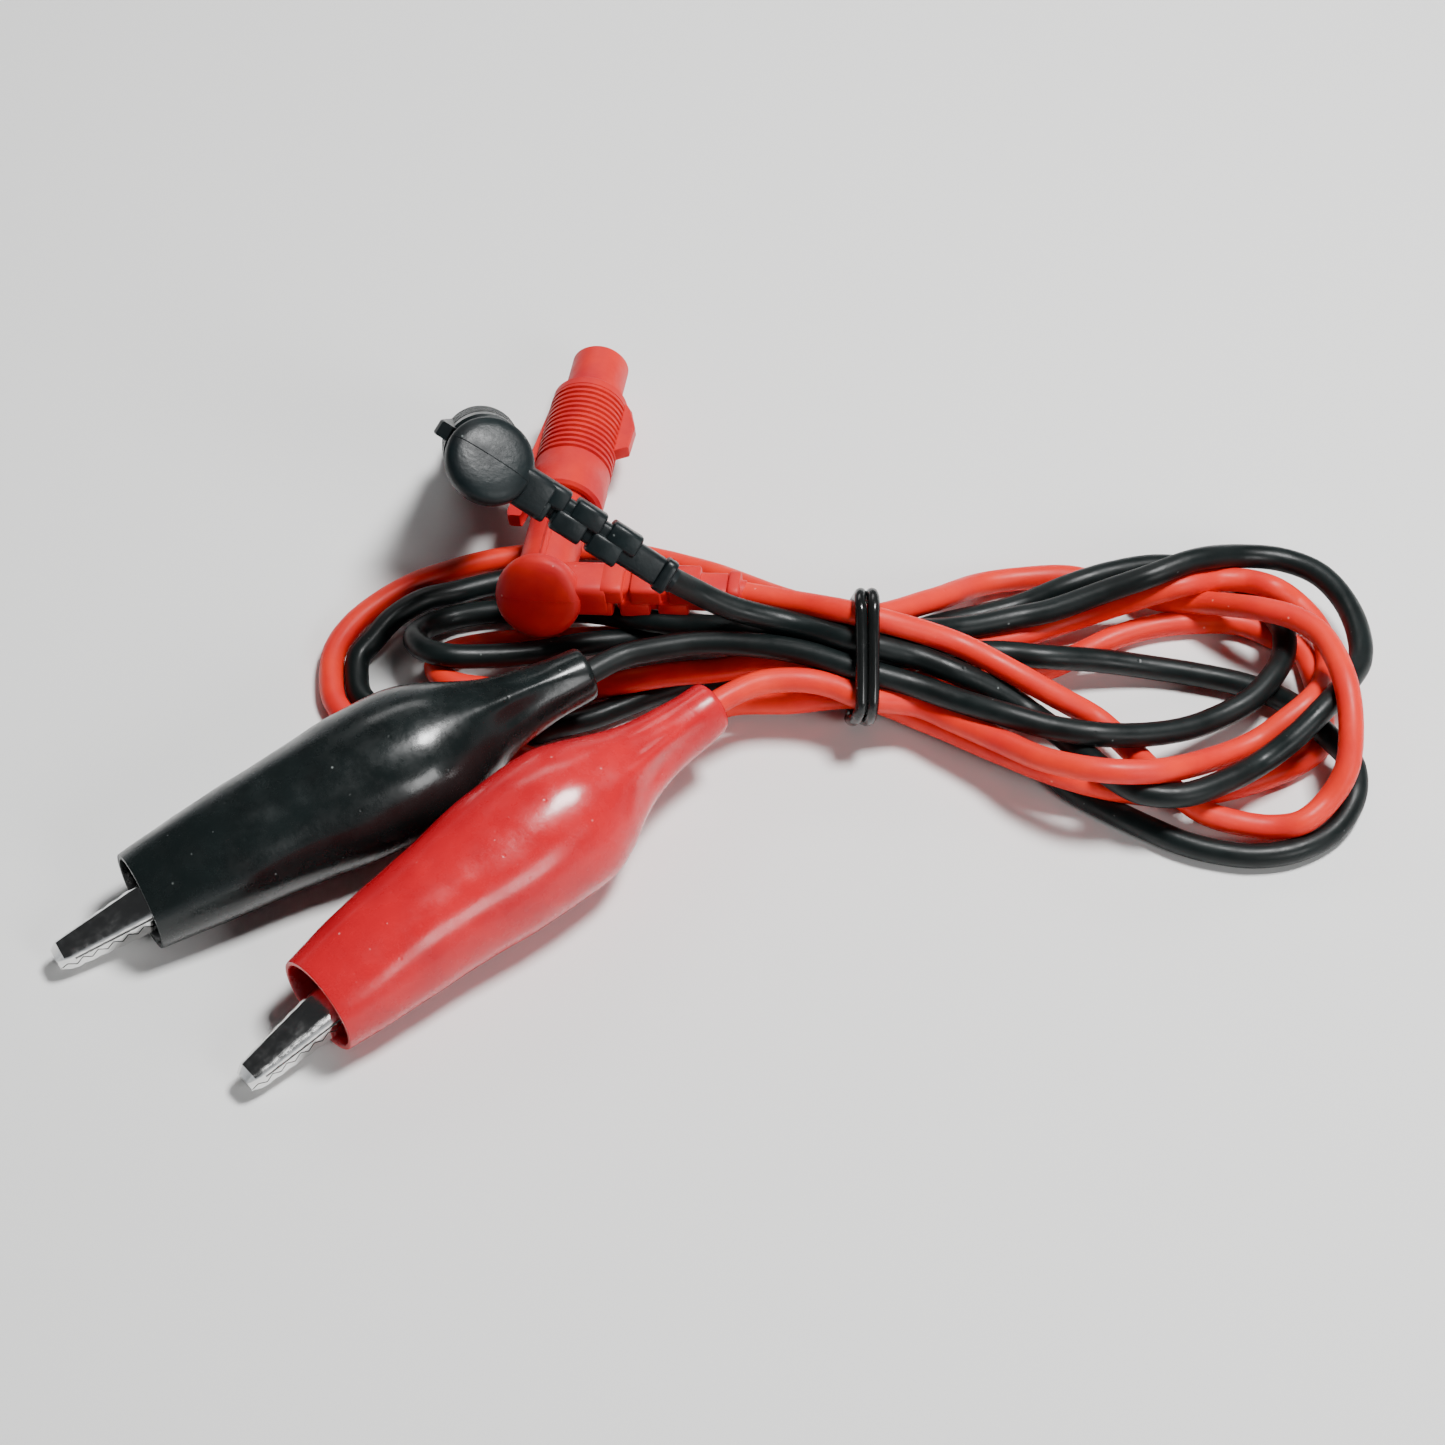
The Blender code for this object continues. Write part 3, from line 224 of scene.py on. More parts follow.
class Nodes:
    """A material's node tree, with short ways to add and join nodes."""

    def __init__(self, name):
        self.material = bpy.data.materials.new(name)
        self.material.use_nodes = True
        self.tree = self.material.node_tree
        self.shader = self.tree.nodes["Principled BSDF"]
        self.place = self.add("ShaderNodeTexCoord").outputs["Object"]

    def add(self, kind, **values):
        node = self.tree.nodes.new(kind)
        for key, value in values.items():
            setattr(node, key, value)
        return node

    def join(self, source, target):
        self.tree.links.new(source, target)

    def noise(self, scale, detail=3.0, roughness=0.55):
        node = self.add("ShaderNodeTexNoise")
        node.inputs["Scale"].default_value = scale
        node.inputs["Detail"].default_value = detail
        node.inputs["Roughness"].default_value = roughness
        self.join(self.place, node.inputs["Vector"])
        return node.outputs["Fac"]

    def cells(self, scale):
        node = self.add("ShaderNodeTexVoronoi")
        node.inputs["Scale"].default_value = scale
        node.inputs["Randomness"].default_value = 1.0
        self.join(self.place, node.inputs["Vector"])
        return node.outputs["Distance"]

    def ramp(self, source, low, high, start=0.0, end=1.0):
        node = self.add("ShaderNodeMapRange")
        node.inputs["From Min"].default_value = low
        node.inputs["From Max"].default_value = high
        node.inputs["To Min"].default_value = start
        node.inputs["To Max"].default_value = end
        self.join(source, node.inputs["Value"])
        return node.outputs["Result"]

    def math(self, operation, first, second):
        node = self.add("ShaderNodeMath", operation=operation)
        for socket, value in zip(node.inputs, (first, second)):
            if isinstance(value, (int, float)):
                socket.default_value = value
            else:
                self.join(value, socket)
        return node.outputs["Value"]

    def mix(self, factor, first, second):
        node = self.add("ShaderNodeMix", data_type="RGBA")
        self.join(factor, node.inputs["Factor"])
        for key, value in ((6, first), (7, second)):
            if isinstance(value, tuple):
                node.inputs[key].default_value = (*value, 1.0)
            else:
                self.join(value, node.inputs[key])
        return node.outputs[2]

    def bump(self, height, strength, distance, normal=None):
        node = self.add("ShaderNodeBump")
        node.inputs["Strength"].default_value = strength
        node.inputs["Distance"].default_value = distance
        self.join(height, node.inputs["Height"])
        if normal is not None:
            self.join(normal, node.inputs["Normal"])
        return node.outputs["Normal"]

    def set(self, **values):
        for key, value in values.items():
            self.shader.inputs[key.replace("_", " ").title().replace("Ior", "IOR")].default_value = value


def pvc(name, base, shade, dust, gloss=0.24, pebble=0.10, coat=0.25, shine=0.3):
    """Soft glossy PVC: uneven colour, pale dust flecks, pits and a slightly pebbled gloss."""
    n = Nodes(name)
    colour = n.mix(n.ramp(n.noise(120, 4), 0.35, 0.68), base, shade)
    flecks = n.ramp(n.cells(420), 0.10, 0.04)
    sparse = n.ramp(n.noise(330, 2), 0.56, 0.62)
    dirt = n.math("MULTIPLY", flecks, sparse)
    colour = n.mix(n.math("MULTIPLY", dirt, 0.5), colour, dust)
    n.join(colour, n.shader.inputs["Base Color"])
    rough = n.ramp(n.noise(260, 5, 0.65), 0.3, 0.75, gloss - 0.08, gloss + 0.16)
    n.join(n.math("ADD", rough, n.math("MULTIPLY", dirt, 0.3)), n.shader.inputs["Roughness"])
    skin = n.bump(n.noise(1300, 3), pebble, 0.0002)
    pits = n.bump(n.ramp(n.cells(260), 0.02, 0.09), 0.35, 0.0001, skin)
    n.join(pits, n.shader.inputs["Normal"])
    n.shader.inputs["Specular IOR Level"].default_value = shine
    n.set(coat_weight=coat, coat_roughness=0.16)
    return n.material


def metal(name, base, shade, roughness, scratch=0.15):
    """Plated metal: cloudy tarnish and fine marks."""
    n = Nodes(name)
    colour = n.mix(n.ramp(n.noise(500, 4), 0.35, 0.7), base, shade)
    n.join(colour, n.shader.inputs["Base Color"])
    rough = n.ramp(n.noise(900, 4), 0.3, 0.8, roughness - 0.07, roughness + 0.14)
    n.join(rough, n.shader.inputs["Roughness"])
    n.join(n.bump(n.noise(1800, 3), scratch, 0.0001), n.shader.inputs["Normal"])
    n.set(metallic=1.0)
    return n.material


# The wires and plugs are duller than the boots: gloss, pebble, coat, shine
RED_WIRE_SKIN = (0.42, 0.10, 0.0, 0.25)
RED_PLUG_SKIN = (0.44, 0.15, 0.0, 0.25)
BLACK_WIRE_SKIN = (0.38, 0.10, 0.0, 0.25)
BLACK_PLUG_SKIN = (0.38, 0.2, 0.0, 0.25)
RIM_GLOSS = 0.45
# Each PVC has its colour, its shade and the colour of its dust flecks
MATERIALS = {
    "red_boot": pvc("red_boot_pvc", (0.60, 0.008, 0.018), (0.48, 0.005, 0.014), (0.85, 0.42, 0.40)),
    "red_rim": pvc("red_rim_pvc", (0.74, 0.10, 0.09), (0.62, 0.05, 0.05), (0.9, 0.5, 0.45), RIM_GLOSS),
    "red_wire": pvc(
        "red_wire_pvc", (0.80, 0.028, 0.010), (0.68, 0.014, 0.012), (0.9, 0.4, 0.3), *RED_WIRE_SKIN
    ),
    "red_plug": pvc(
        "red_plug_pvc", (0.66, 0.020, 0.014), (0.50, 0.008, 0.016), (0.8, 0.4, 0.35), *RED_PLUG_SKIN
    ),
    "black_boot": pvc("black_boot_pvc", (0.008, 0.012, 0.012), (0.005, 0.007, 0.007), (0.30, 0.33, 0.32)),
    "black_rim": pvc(
        "black_rim_pvc", (0.045, 0.055, 0.054), (0.03, 0.036, 0.036), (0.4, 0.42, 0.42), RIM_GLOSS
    ),
    "black_wire": pvc(
        "black_wire_pvc", (0.006, 0.010, 0.010), (0.004, 0.006, 0.006), (0.3, 0.34, 0.33), *BLACK_WIRE_SKIN
    ),
    "black_plug": pvc(
        "black_plug_pvc", (0.006, 0.011, 0.012), (0.004, 0.006, 0.007), (0.3, 0.34, 0.33), *BLACK_PLUG_SKIN
    ),
    "steel": metal("plated_jaw_steel", (0.84, 0.84, 0.83), (0.74, 0.74, 0.73), 0.16, 0.04),
    # Dark metal for the knurl line: painted shade along the bend of the jaw walls
    "knurl_painted_shade": metal("knurl_shadow", (0.16, 0.16, 0.16), (0.08, 0.08, 0.08), 0.4, 0.04),
    "nickel": metal("nickel_pin", (0.74, 0.72, 0.67), (0.60, 0.57, 0.52), 0.24),
    "copper": metal("bare_copper", (0.78, 0.40, 0.24), (0.60, 0.28, 0.16), 0.35),
    "tie": pvc("tie_plastic", (0.010, 0.011, 0.011), (0.006, 0.007, 0.007), (0.2, 0.2, 0.2), 0.2, 0.1),
}

# ---------------------------------------------------------------- wires

ROUTES = {"red": RED_ROUTE, "black": BLACK_ROUTE}
SPAN_STEPS = 10
CURVES = {}
for lead, route in ROUTES.items():
    CURVES[lead] = [point - SHIFT for point in smooth_curve(route, SPAN_STEPS)]
    wire = tube(lead + "_lead_wire", CURVES[lead], WIRE_RADIUS, MATERIALS[lead + "_wire"], 5)
    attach(wire, "leads")
    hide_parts(lead + "_wire")

# ---------------------------------------------------------------- mesh helpers


def ring(centre, side, up, half_width, half_height, count, power=2.0, grow=None):
    """A closed oval of points. A power above 2 squares it off, and grow(angle) adds to its radius."""
    points = []
    for i in range(count):
        angle = math.tau * i / count
        c, s = math.cos(angle), math.sin(angle)
        c = math.copysign(abs(c) ** (2 / power), c)
        s = math.copysign(abs(s) ** (2 / power), s)
        more = grow(angle) if grow else 0.0
        points.append(centre + side * (half_width + more) * c + up * (half_height + more) * s)
    return points


def loft(bm, rings, closed=False, slot=0):
    """Quads between rings, closed into a torus or capped at both ends."""
    loops = [[bm.verts.new(point) for point in points] for points in rings]
    pairs = list(zip(loops, loops[1:]))
    if closed:
        pairs.append((loops[-1], loops[0]))
    count = len(loops[0])
    faces = []
    for near, far in pairs:
        for i in range(count):
            j = (i + 1) % count
            faces.append(bm.faces.new((near[i], near[j], far[j], far[i])))
    if not closed:
        faces.append(bm.faces.new(loops[0]))
        faces.append(bm.faces.new(loops[-1]))
    for face in faces:
        face.material_index = slot
    return faces


X, Y, Z = Vector((1, 0, 0)), Vector((0, 1, 0)), Vector((0, 0, 1))


def turn_profile(bm, profile, count, closed=False):
    """Turns (x, radius) pairs in mm round +X."""
    rings = [ring(X * x * MM, Y, Z, r * MM, r * MM, count) for x, r in profile]
    loft(bm, rings, closed)


def rounded(profile, radius, steps=3):
    """The profile with its corners rounded off."""
    found = [profile[0]]
    for before, corner, after in zip(profile, profile[1:], profile[2:]):
        corner_v = Vector(corner)
        to_before, to_after = Vector(before) - corner_v, Vector(after) - corner_v
        reach = min(radius, to_before.length * 0.45, to_after.length * 0.45)
        start = corner_v + to_before.normalized() * reach
        end = corner_v + to_after.normalized() * reach
        for i in range(steps + 1):
            t = i / steps
            found.append(tuple(start.lerp(corner_v, t).lerp(corner_v.lerp(end, t), t)))
    found.append(profile[-1])
    return found


def piece(name, bm, matrix, body, nodes, slot, *materials, angle=40.0):
    """A finished mesh piece that rides on a body and stands for CAD nodes."""
    bmesh.ops.recalc_face_normals(bm, faces=bm.faces)
    mesh = bpy.data.meshes.new(name)
    bm.to_mesh(mesh)
    bm.free()
    mesh.shade_smooth()
    mesh.set_sharp_from_angle(angle=math.radians(angle))
    for material in materials:
        mesh.materials.append(material)
    obj = link(bpy.data.objects.new(name, mesh))
    obj.matrix_world = matrix
    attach(obj, body)
    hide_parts(*nodes)
    return obj


# ---------------------------------------------------------------- boots

# Stations from the mouth: (distance, half width, half height, height of the middle), mm
BOOT_STATIONS = (
    (0.0, 7.7, 7.5, 7.8),
    (12.0, 9.1, 8.9, 9.2),
    (24.0, 10.1, 9.8, 10.1),
    (34.0, 11.3, 10.6, 10.9),
    (42.0, 11.6, 11.0, 11.3),
    (47.0, 11.3, 10.7, 11.4),
    (51.0, 9.9, 9.7, 11.6),
    (55.0, 7.9, 8.2, 12.0),
    (59.0, 6.2, 6.7, 12.3),
    (64.0, 5.0, 5.5, 12.6),
    (69.0, 4.4, 4.7, 12.9),
    (74.5, 4.1, 4.3, 13.1),
)
BOOT_WALL = 0.95
BOOT_END_WALL = 1.2
BOOT_SIDES = 72
# The wall is thicker from here on, where the boot grips the cable
BOOT_NECK = 60.0
LEADS = {
    "red": {
        "mouth": (-57.5, -56.3),
        "clip_yaw": 41.5,
        "jaw_yaw": 1.0,
        "plug": (-28.05, 17.6, 11.6),
        "pin": (0.151, 0.985, -0.08),
        "web": (125.0, 1.1),
        "seed": 3.0,
    },
    "black": {
        "mouth": (-84.8, -38.5),
        "clip_yaw": 30.7,
        "jaw_yaw": 0.0,
        "plug": (-34.9, 18.4, 39.55),
        "pin": (-0.1, 0.716, -0.691),
        "web": (110.0, 0.7),
        "seed": 11.0,
    },
}


def bell(value, middle, width):
    return math.exp(-(((value - middle) / width) ** 2))


def boot_skin(place, distance, angle):
    """How far the boot's outer skin stands from its stations, mm: soft dents, and webs at the neck."""
    spot = Vector((distance * 0.07, math.cos(angle) * 0.9, math.sin(angle) * 0.9 + place["seed"]))
    uneven = 0.28 * noise.noise(spot) + 0.10 * noise.noise(spot * 3.1)
    web_angle, web_height = place["web"]
    away = math.remainder(angle - math.radians(web_angle), math.tau)
    web = web_height * bell(away, 0.0, 0.20) * bell(distance, 60.0, 7.0)
    valley = -0.5 * web_height * bell(away, 0.5, 0.25) * bell(distance, 60.0, 7.0)
    other = math.remainder(angle - math.radians(web_angle + 175), math.tau)
    web += 0.5 * web_height * bell(other, 0.0, 0.25) * bell(distance, 59.0, 6.0)
    near_end = min(1.0, distance / 6.0) * min(1.0, (BOOT_STATIONS[-1][0] - distance) / 4.0)
    return (uneven * near_end + web + valley) * MM


def boot_sections():
    """The stations, read closely along a smooth curve."""
    columns = []
    for column in (1, 2, 3):
        columns.append(smooth_curve([(station[0], station[column], 0) for station in BOOT_STATIONS], 6))
    return [(w.x, w.y, h.y, m.y) for w, h, m in zip(*columns)]


def make_boot(lead, place, clip):
    bm = bmesh.new()
    sections = boot_sections()

    def boot_ring(section, inset):
        distance, width, height, middle = section
        centre = Vector((distance, 0, middle)) * MM
        half_width, half_height = (width - inset) * MM, (height - inset) * MM
        grow = lambda angle: boot_skin(place, distance, angle)
        return ring(centre, Y, Z, half_width, half_height, BOOT_SIDES, grow=grow)

    first, last = sections[0], sections[-1]
    # Round the lip at the mouth and the end of the cable sleeve
    lip = (first[0] + 0.25, *first[1:])
    outer = [boot_ring(first, 0.12), boot_ring(lip, 0.02)]
    outer += [boot_ring(section, 0.0) for section in sections[1:-1]]
    outer += [boot_ring((last[0] - 0.3, *last[1:]), 0.03), boot_ring(last, 0.25)]
    inner = [boot_ring(last, BOOT_END_WALL)]
    for section in sections[-4:0:-1]:
        inner.append(boot_ring(section, BOOT_WALL if section[0] < BOOT_NECK else BOOT_END_WALL))
    inner += [boot_ring(lip, BOOT_WALL - 0.08), boot_ring(first, BOOT_WALL - 0.25)]
    faces = loft(bm, outer + inner, closed=True)
    # The last faces join the inside to the outside at the mouth
    for face in faces[-BOOT_SIDES:]:
        face.material_index = 1
    name = lead + "_boot_skin"
    materials = (MATERIALS[lead + "_boot"], MATERIALS[lead + "_rim"])
    return piece(name, bm, clip, "leads", [lead + "_boot"], lead + "_pvc", *materials, angle=60)


# ---------------------------------------------------------------- plugs

# Along the pin from the middle of the body, mm
DISC_TILT_DEG = 25.0
DISC_OFFSET = -1.3
PARTING_RADIUS = 0.07
SLEEVE_START, SLEEVE_END = 17.5, 43.0
SLEEVE_RADIUS, SLEEVE_BORE = 6.2, 5.0
RIBS, RIB_PITCH, RIB_DEPTH = 13, 1.15, 0.42
FRONT_BAND = 2.3
NOSE_END, NOSE_RADIUS, NOSE_BORE = 52.0, 4.7, 3.3


def relief_frame(wire_local):
    """Turns +X to the wire and +Z to the side that neither the pin nor the wire points to."""
    along = wire_local.normalized()
    across = Y.cross(along).normalized()
    return Matrix((along, across, along.cross(across))).transposed().to_4x4()


def disc_profile():
    """The domed end of the plug, from the middle of its face to its back, (x, radius) in mm."""
    face = [(-3.45, 0.05), (-3.42, 2.0), (-3.3, 4.0), (-3.05, 5.4), (-2.6, 6.3), (-1.9, 6.75)]
    return face + [(-0.6, 6.8), (0.1, 6.4), (0.1, 0.05)]


def parting_line(bm, along):
    """The fine raised line that the mould leaves across the disc."""
    face = disc_profile()[1:6]
    spots = [(x, -r) for x, r in reversed(face)] + [(x, r) for x, r in face]
    across = along.cross(X)
    thick = PARTING_RADIUS * MM
    loft(bm, [ring((X * (x - 0.01) + along * r) * MM, X, across, thick, thick, 8) for x, r in spots])


def plug_body(lead, plug, wire_local, reach):
    """The moulded right-angle body: domed disc, stem and segmented strain relief."""
    bm = bmesh.new()
    stem = [(-2.0, 3.6), (-1.2, 4.5), (21.4, 4.6), (22.0, 4.2), (22.0, 2.1), (12.0, 2.1), (12.0, 0.05)]
    turn_profile(bm, rounded(stem, 0.4), 48)
    # Low ridges along the stem, where the mould closes
    for turn in (90.0, 270.0):
        ridge = bmesh.new()
        loft(ridge, [ring(Vector((x, 0, 4.5)) * MM, Y, Z, 0.55 * MM, 0.45 * MM, 12) for x in (1.0, 17.0)])
        bmesh.ops.rotate(ridge, verts=ridge.verts, matrix=Matrix.Rotation(math.radians(turn), 3, "X"))
        join_into(bm, ridge)
    disc = bmesh.new()
    turn_profile(disc, rounded(disc_profile(), 0.6), 72)
    parting_line(disc, Z)
    tilt = Matrix.Rotation(math.radians(-DISC_TILT_DEG), 4, "Z")
    disc.transform(Matrix.Translation((DISC_OFFSET * MM, 0, 0)) @ tilt)
    join_into(bm, disc)
    relief = bmesh.new()
    strain_relief(relief, reach)
    relief.transform(relief_frame(wire_local))
    join_into(bm, relief)
    name = lead + "_plug_moulding"
    return piece(name, bm, plug, "leads", [lead + "_plug_body"], lead + "_pvc", MATERIALS[lead + "_plug"])


def block(bm, start, end, across, low, high):
    """A soft-edged block along X, from low to high in Z, mm."""
    middle, half = (low + high) / 2, (high - low) / 2
    near_end = [(start, 0.3), (start + 0.12, 0.1), (start + 0.3, 0.0)]
    far_end = [(end - 0.3, 0.0), (end - 0.12, 0.1), (end, 0.3)]
    rings = []
    for x, inset in near_end + far_end:
        centre = Vector((x, 0, middle)) * MM
        rings.append(ring(centre, Y, Z, (across - inset) * MM, (half - inset) * MM, 40, 5.0))
    loft(bm, rings)


def strain_relief(bm, reach):
    """A square root, staggered lobes on two sides, and an end ring round the wire's start at reach."""
    pitch = (reach - 13.0) / 3
    ring_start = reach - 1.5
    block(bm, 0.5, 10.6, 3.4, -3.2, 3.2)
    for side, shift in ((1.0, 0.9), (-1.0, -0.9)):
        low, high = sorted((side * -0.5, side * 3.2))
        block(bm, 9.5, 12.2 + shift, 3.2, low, high)
        for i in range(2):
            start = 13.4 + shift + i * pitch
            block(bm, start, start + pitch - 1.2, 3.2 - 0.15 * i, low, high)
    block(bm, 12.0, ring_start, 2.5, -2.3, 2.3)
    block(bm, ring_start, reach + 0.4, 2.7, -2.7, 2.7)
    core = [(9.0, 2.15), (reach, 2.15), (reach + 1.2, 1.95)]
    turn_profile(bm, [(9.0, 0.05), *core, (reach + 1.2, 0.05)], 24)


def join_into(bm, other):
    """Copies one bmesh into another, then frees it."""
    mesh = bpy.data.meshes.new("joined")
    other.to_mesh(mesh)
    other.free()
    bm.from_mesh(mesh)
    bpy.data.meshes.remove(mesh)


def sleeve_profile():
    """Outside from back to front with its ribs, then the nose, then back along the bore."""
    outside = [(SLEEVE_START, SLEEVE_RADIUS - 0.5), (SLEEVE_START + 0.4, SLEEVE_RADIUS + 0.1)]
    ribs_start = SLEEVE_END - FRONT_BAND - RIBS * RIB_PITCH
    outside += [(ribs_start - 3.2, SLEEVE_RADIUS + 0.1), (ribs_start - 2.9, SLEEVE_RADIUS)]
    outside += [(ribs_start - 0.2, SLEEVE_RADIUS)]
    low, high = SLEEVE_RADIUS - RIB_DEPTH, SLEEVE_RADIUS + 0.08
    rib = [(0.02, low), (0.30, low), (0.42, high), (0.95, high), (1.1, low + 0.05)]
    for i in range(RIBS):
        outside += [(ribs_start + i * RIB_PITCH + x, radius) for x, radius in rib]
    front = SLEEVE_END - FRONT_BAND + 0.1
    outside += [(front, SLEEVE_RADIUS), (SLEEVE_END - 0.9, SLEEVE_RADIUS), (SLEEVE_END - 0.2, 5.6)]
    nose = [(SLEEVE_END, NOSE_RADIUS + 0.35), (SLEEVE_END + 1.6, NOSE_RADIUS + 0.3)]
    nose += [(SLEEVE_END + 1.8, NOSE_RADIUS), (NOSE_END - 0.5, NOSE_RADIUS), (NOSE_END, NOSE_RADIUS - 0.4)]
    bore = [(NOSE_END, NOSE_BORE + 0.3), (NOSE_END - 0.4, NOSE_BORE), (SLEEVE_END - 1.5, NOSE_BORE)]
    bore += [(SLEEVE_END - 1.5, SLEEVE_BORE), (SLEEVE_START, SLEEVE_BORE)]
    return outside + nose + bore


def fin(bm, outline, sign, half):
    """A flat fin along the sleeve, with a chamfered edge."""
    rings = []
    for across, inset in ((-half, 0.25), (-half + 0.25, 0.0), (half - 0.25, 0.0), (half, 0.25)):
        points = []
        for x, r in outline:
            r_in = r - inset if r > SLEEVE_RADIUS else r
            points.append(Vector((x * MM, across * MM, sign * r_in * MM)))
        rings.append(points)
    loft(bm, rings)


def plug_sleeve(lead, plug):
    bm = bmesh.new()
    turn_profile(bm, sleeve_profile(), 72, closed=True)
    long_fin = [(14.3, 8.2), (15.2, 8.6), (19.0, 8.4), (SLEEVE_END - 3.5, 6.3), (SLEEVE_END - 3.5, 5.4)]
    long_fin += [(17.8, 5.4), (14.3, 6.4)]
    short_fin = [(30.5, 6.0), (31.5, 8.3), (36.5, 8.5), (40.0, 7.4), (42.0, 6.0), (42.0, 5.4), (30.5, 5.4)]
    fin(bm, long_fin, -1.0, 1.2)
    fin(bm, short_fin, 1.0, 1.1)
    finish = MATERIALS[lead + "_plug"]
    body, nodes = lead + "_shroud", [lead + "_plug_sleeve"]
    return piece(lead + "_shroud_skin", bm, plug, body, nodes, lead + "_pvc", finish, angle=32)


# ---------------------------------------------------------------- jaws

# In the jaw frame: u runs back from the pivot, v up, the teeth meet along v = 0, mm
JAW_PITCH_DEG = 9.0
PIVOT_FROM_MOUTH = 22.0
PIVOT_HEIGHT = 9.0
TIP_U = -36.5
SHEET = 0.75
TOOTH_PITCH = 2.4
TEETH = 11
TEETH_GAP = 0.26
KNURL_STEPS = 35
KNURL_PITCH = 0.42
BEAD_RADIUS = 0.15
CRIMP_FROM_DEG, CRIMP_TO_DEG = -60.0, 240.0
CRIMP_STEPS = 28
CRIMP_RADIUS, CRIMP_BORE = 2.5, 1.75


def jaw_half_width(u, upper):
    """Half the width over the side walls: equal at the teeth, the lower jaw wider at the pivot."""
    if u < TIP_U + 1.6:
        return 1.45 + 0.62 * math.sqrt((u - TIP_U) / 1.6)
    if u <= -20.0:
        return 2.07 + 1.2 * (u - TIP_U - 1.6) / 14.9
    back = 3.5 if upper else 4.85
    return min(back, 3.27 + (back - 3.27) * (u + 20.0) / 12.0)


def jaw_stations(upper):
    """(u, height of the back, height of the walls' edges, share of the flat back) along the jaw, mm."""
    stations = []
    for i in range(2 * TEETH + 1):
        u = TIP_U + 0.02 + i * TOOTH_PITCH / 2
        t = (u - TIP_U) / 14.5
        back = 1.25 + 0.95 * min(1.0, (u - TIP_U) / 1.3) + 1.0 * min(1.0, t)
        edge = 0.5 if i % 2 else -0.5
        stations.append((u, back, edge if upper else -edge, 0.60))
    middle = [(-8.0, 4.3), (-6.0, 4.4), (-3.0, 4.6), (3.0, 4.8), (6.0, 4.9), (9.0, 5.1), (12.0, 5.4)]
    edges = [0.7, 0.7, -2.6, -2.6, -0.5, 3.2, 4.3]
    drop = 0.0 if upper else 0.6
    stations += [(u, v - drop, min(e, v - drop - SHEET), 0.8) for (u, v), e in zip(middle, edges)]
    ends = [(16.0, 4.9), (20.0, 5.1), (26.0, 5.35), (27.0, 5.4)]
    if upper:
        ends = [(16.0, 5.8), (20.0, 6.15), (26.0, 6.7), (27.0, 6.8)]
    stations += [(u, v, v - 1.1, 0.9) for u, v in ends]
    return stations


def channel_ring(u, half, back, edge, flat, solid):
    """One section of a bent-sheet channel, outside first, as points in the jaw frame with v up."""
    shoulder = back - 0.48 * (back - max(edge, 0.0))
    bend = 0.16
    slope = Vector((flat * half - half, back - shoulder)).normalized()
    right = [
        (half, edge),
        (half, shoulder - bend),
        (half + slope.x * bend, shoulder + slope.y * bend),
        (flat * half - slope.x * bend, back - slope.y * bend),
        (flat * half - bend, back),
    ]
    outside = right + [(-y, v) for y, v in reversed(right)]
    roof = edge + 0.02 if solid else max(edge + 0.05, back - SHEET)
    wall = half - SHEET if not solid else half - 0.05
    knee = min(roof, max(edge + 0.01, shoulder - 0.3))
    inner = [(wall, edge), (wall, knee), (min(wall, flat * half), roof)]
    inside = inner + [(-y, v) for y, v in reversed(inner)]
    points = outside + list(reversed(inside))
    return [Vector((u, y, v)) * MM for y, v in points]


def knurl_place(i):
    """Where step i of the knurl line lies on the upper jaw: (u, half width, height of the bend), mm."""
    u = TIP_U + 2.6 + i * KNURL_PITCH
    shoulder = 0.52 * (2.2 + min(1.0, (u - TIP_U) / 14.5))
    return u, jaw_half_width(u, True), shoulder


def bead(centre):
    """One bright point of the knurl line."""
    bm = bmesh.new()
    bmesh.ops.create_icosphere(bm, subdivisions=1, radius=BEAD_RADIUS * MM)
    bmesh.ops.translate(bm, vec=centre, verts=bm.verts)
    return bm


def knurl_line(bm, side):
    """A thin strip of dark metal along the bend of one side wall, painted shade where the groove lies, with a
    fine row of bright beads in it.
    """
    groove = []
    for i in range(KNURL_STEPS):
        u, half, shoulder = knurl_place(i)
        centre = Vector((u, side * (half + 0.005), shoulder - 0.30)) * MM
        groove.append(ring(centre, Y, Z, 0.045 * MM, 0.26 * MM, 8))
        if i % 2:
            join_into(bm, bead(centre + Y * side * 0.05 * MM))
    # The strip takes the second finish, the dark metal of painted shade
    loft(bm, groove, slot=1)


def jaw_shape(upper):
    bm = bmesh.new()
    gap = TEETH_GAP / 2
    rings = []
    for number, (u, back, edge, flat) in enumerate(jaw_stations(upper)):
        half = jaw_half_width(u, upper)
        rings.append(channel_ring(u, half, back, edge + gap, flat, number < 1 or u > 15.0))
    loft(bm, rings)
    if upper:
        knurl_line(bm, -1)
        knurl_line(bm, 1)
    else:
        bmesh.ops.scale(bm, vec=(1, 1, -1), verts=bm.verts)
    return bm


def crimp(bm):
    """The barrel that grips the conductor, open along its top, and its strap to the lever."""
    outer, inner = [], []
    for i in range(CRIMP_STEPS + 1):
        turn = CRIMP_FROM_DEG + (CRIMP_TO_DEG - CRIMP_FROM_DEG) * i / CRIMP_STEPS
        angle = math.radians(turn - 90.0)
        outer.append((CRIMP_RADIUS * math.sin(angle), CRIMP_RADIUS * math.cos(angle)))
        inner.append((CRIMP_BORE * math.sin(angle), CRIMP_BORE * math.cos(angle)))
    section = outer + list(reversed(inner))
    loft(bm, [[Vector((u, y, v - 2.2)) * MM for y, v in section] for u in (35.0, 38.7, 42.5)])
    strap = [(24.0, -5.3), (36.5, -4.75), (36.5, -4.1), (24.0, -4.5)]
    loft(bm, [[Vector((u, y, v)) * MM for u, v in strap] for y in (-2.0, -1.7, 1.7, 2.0)])


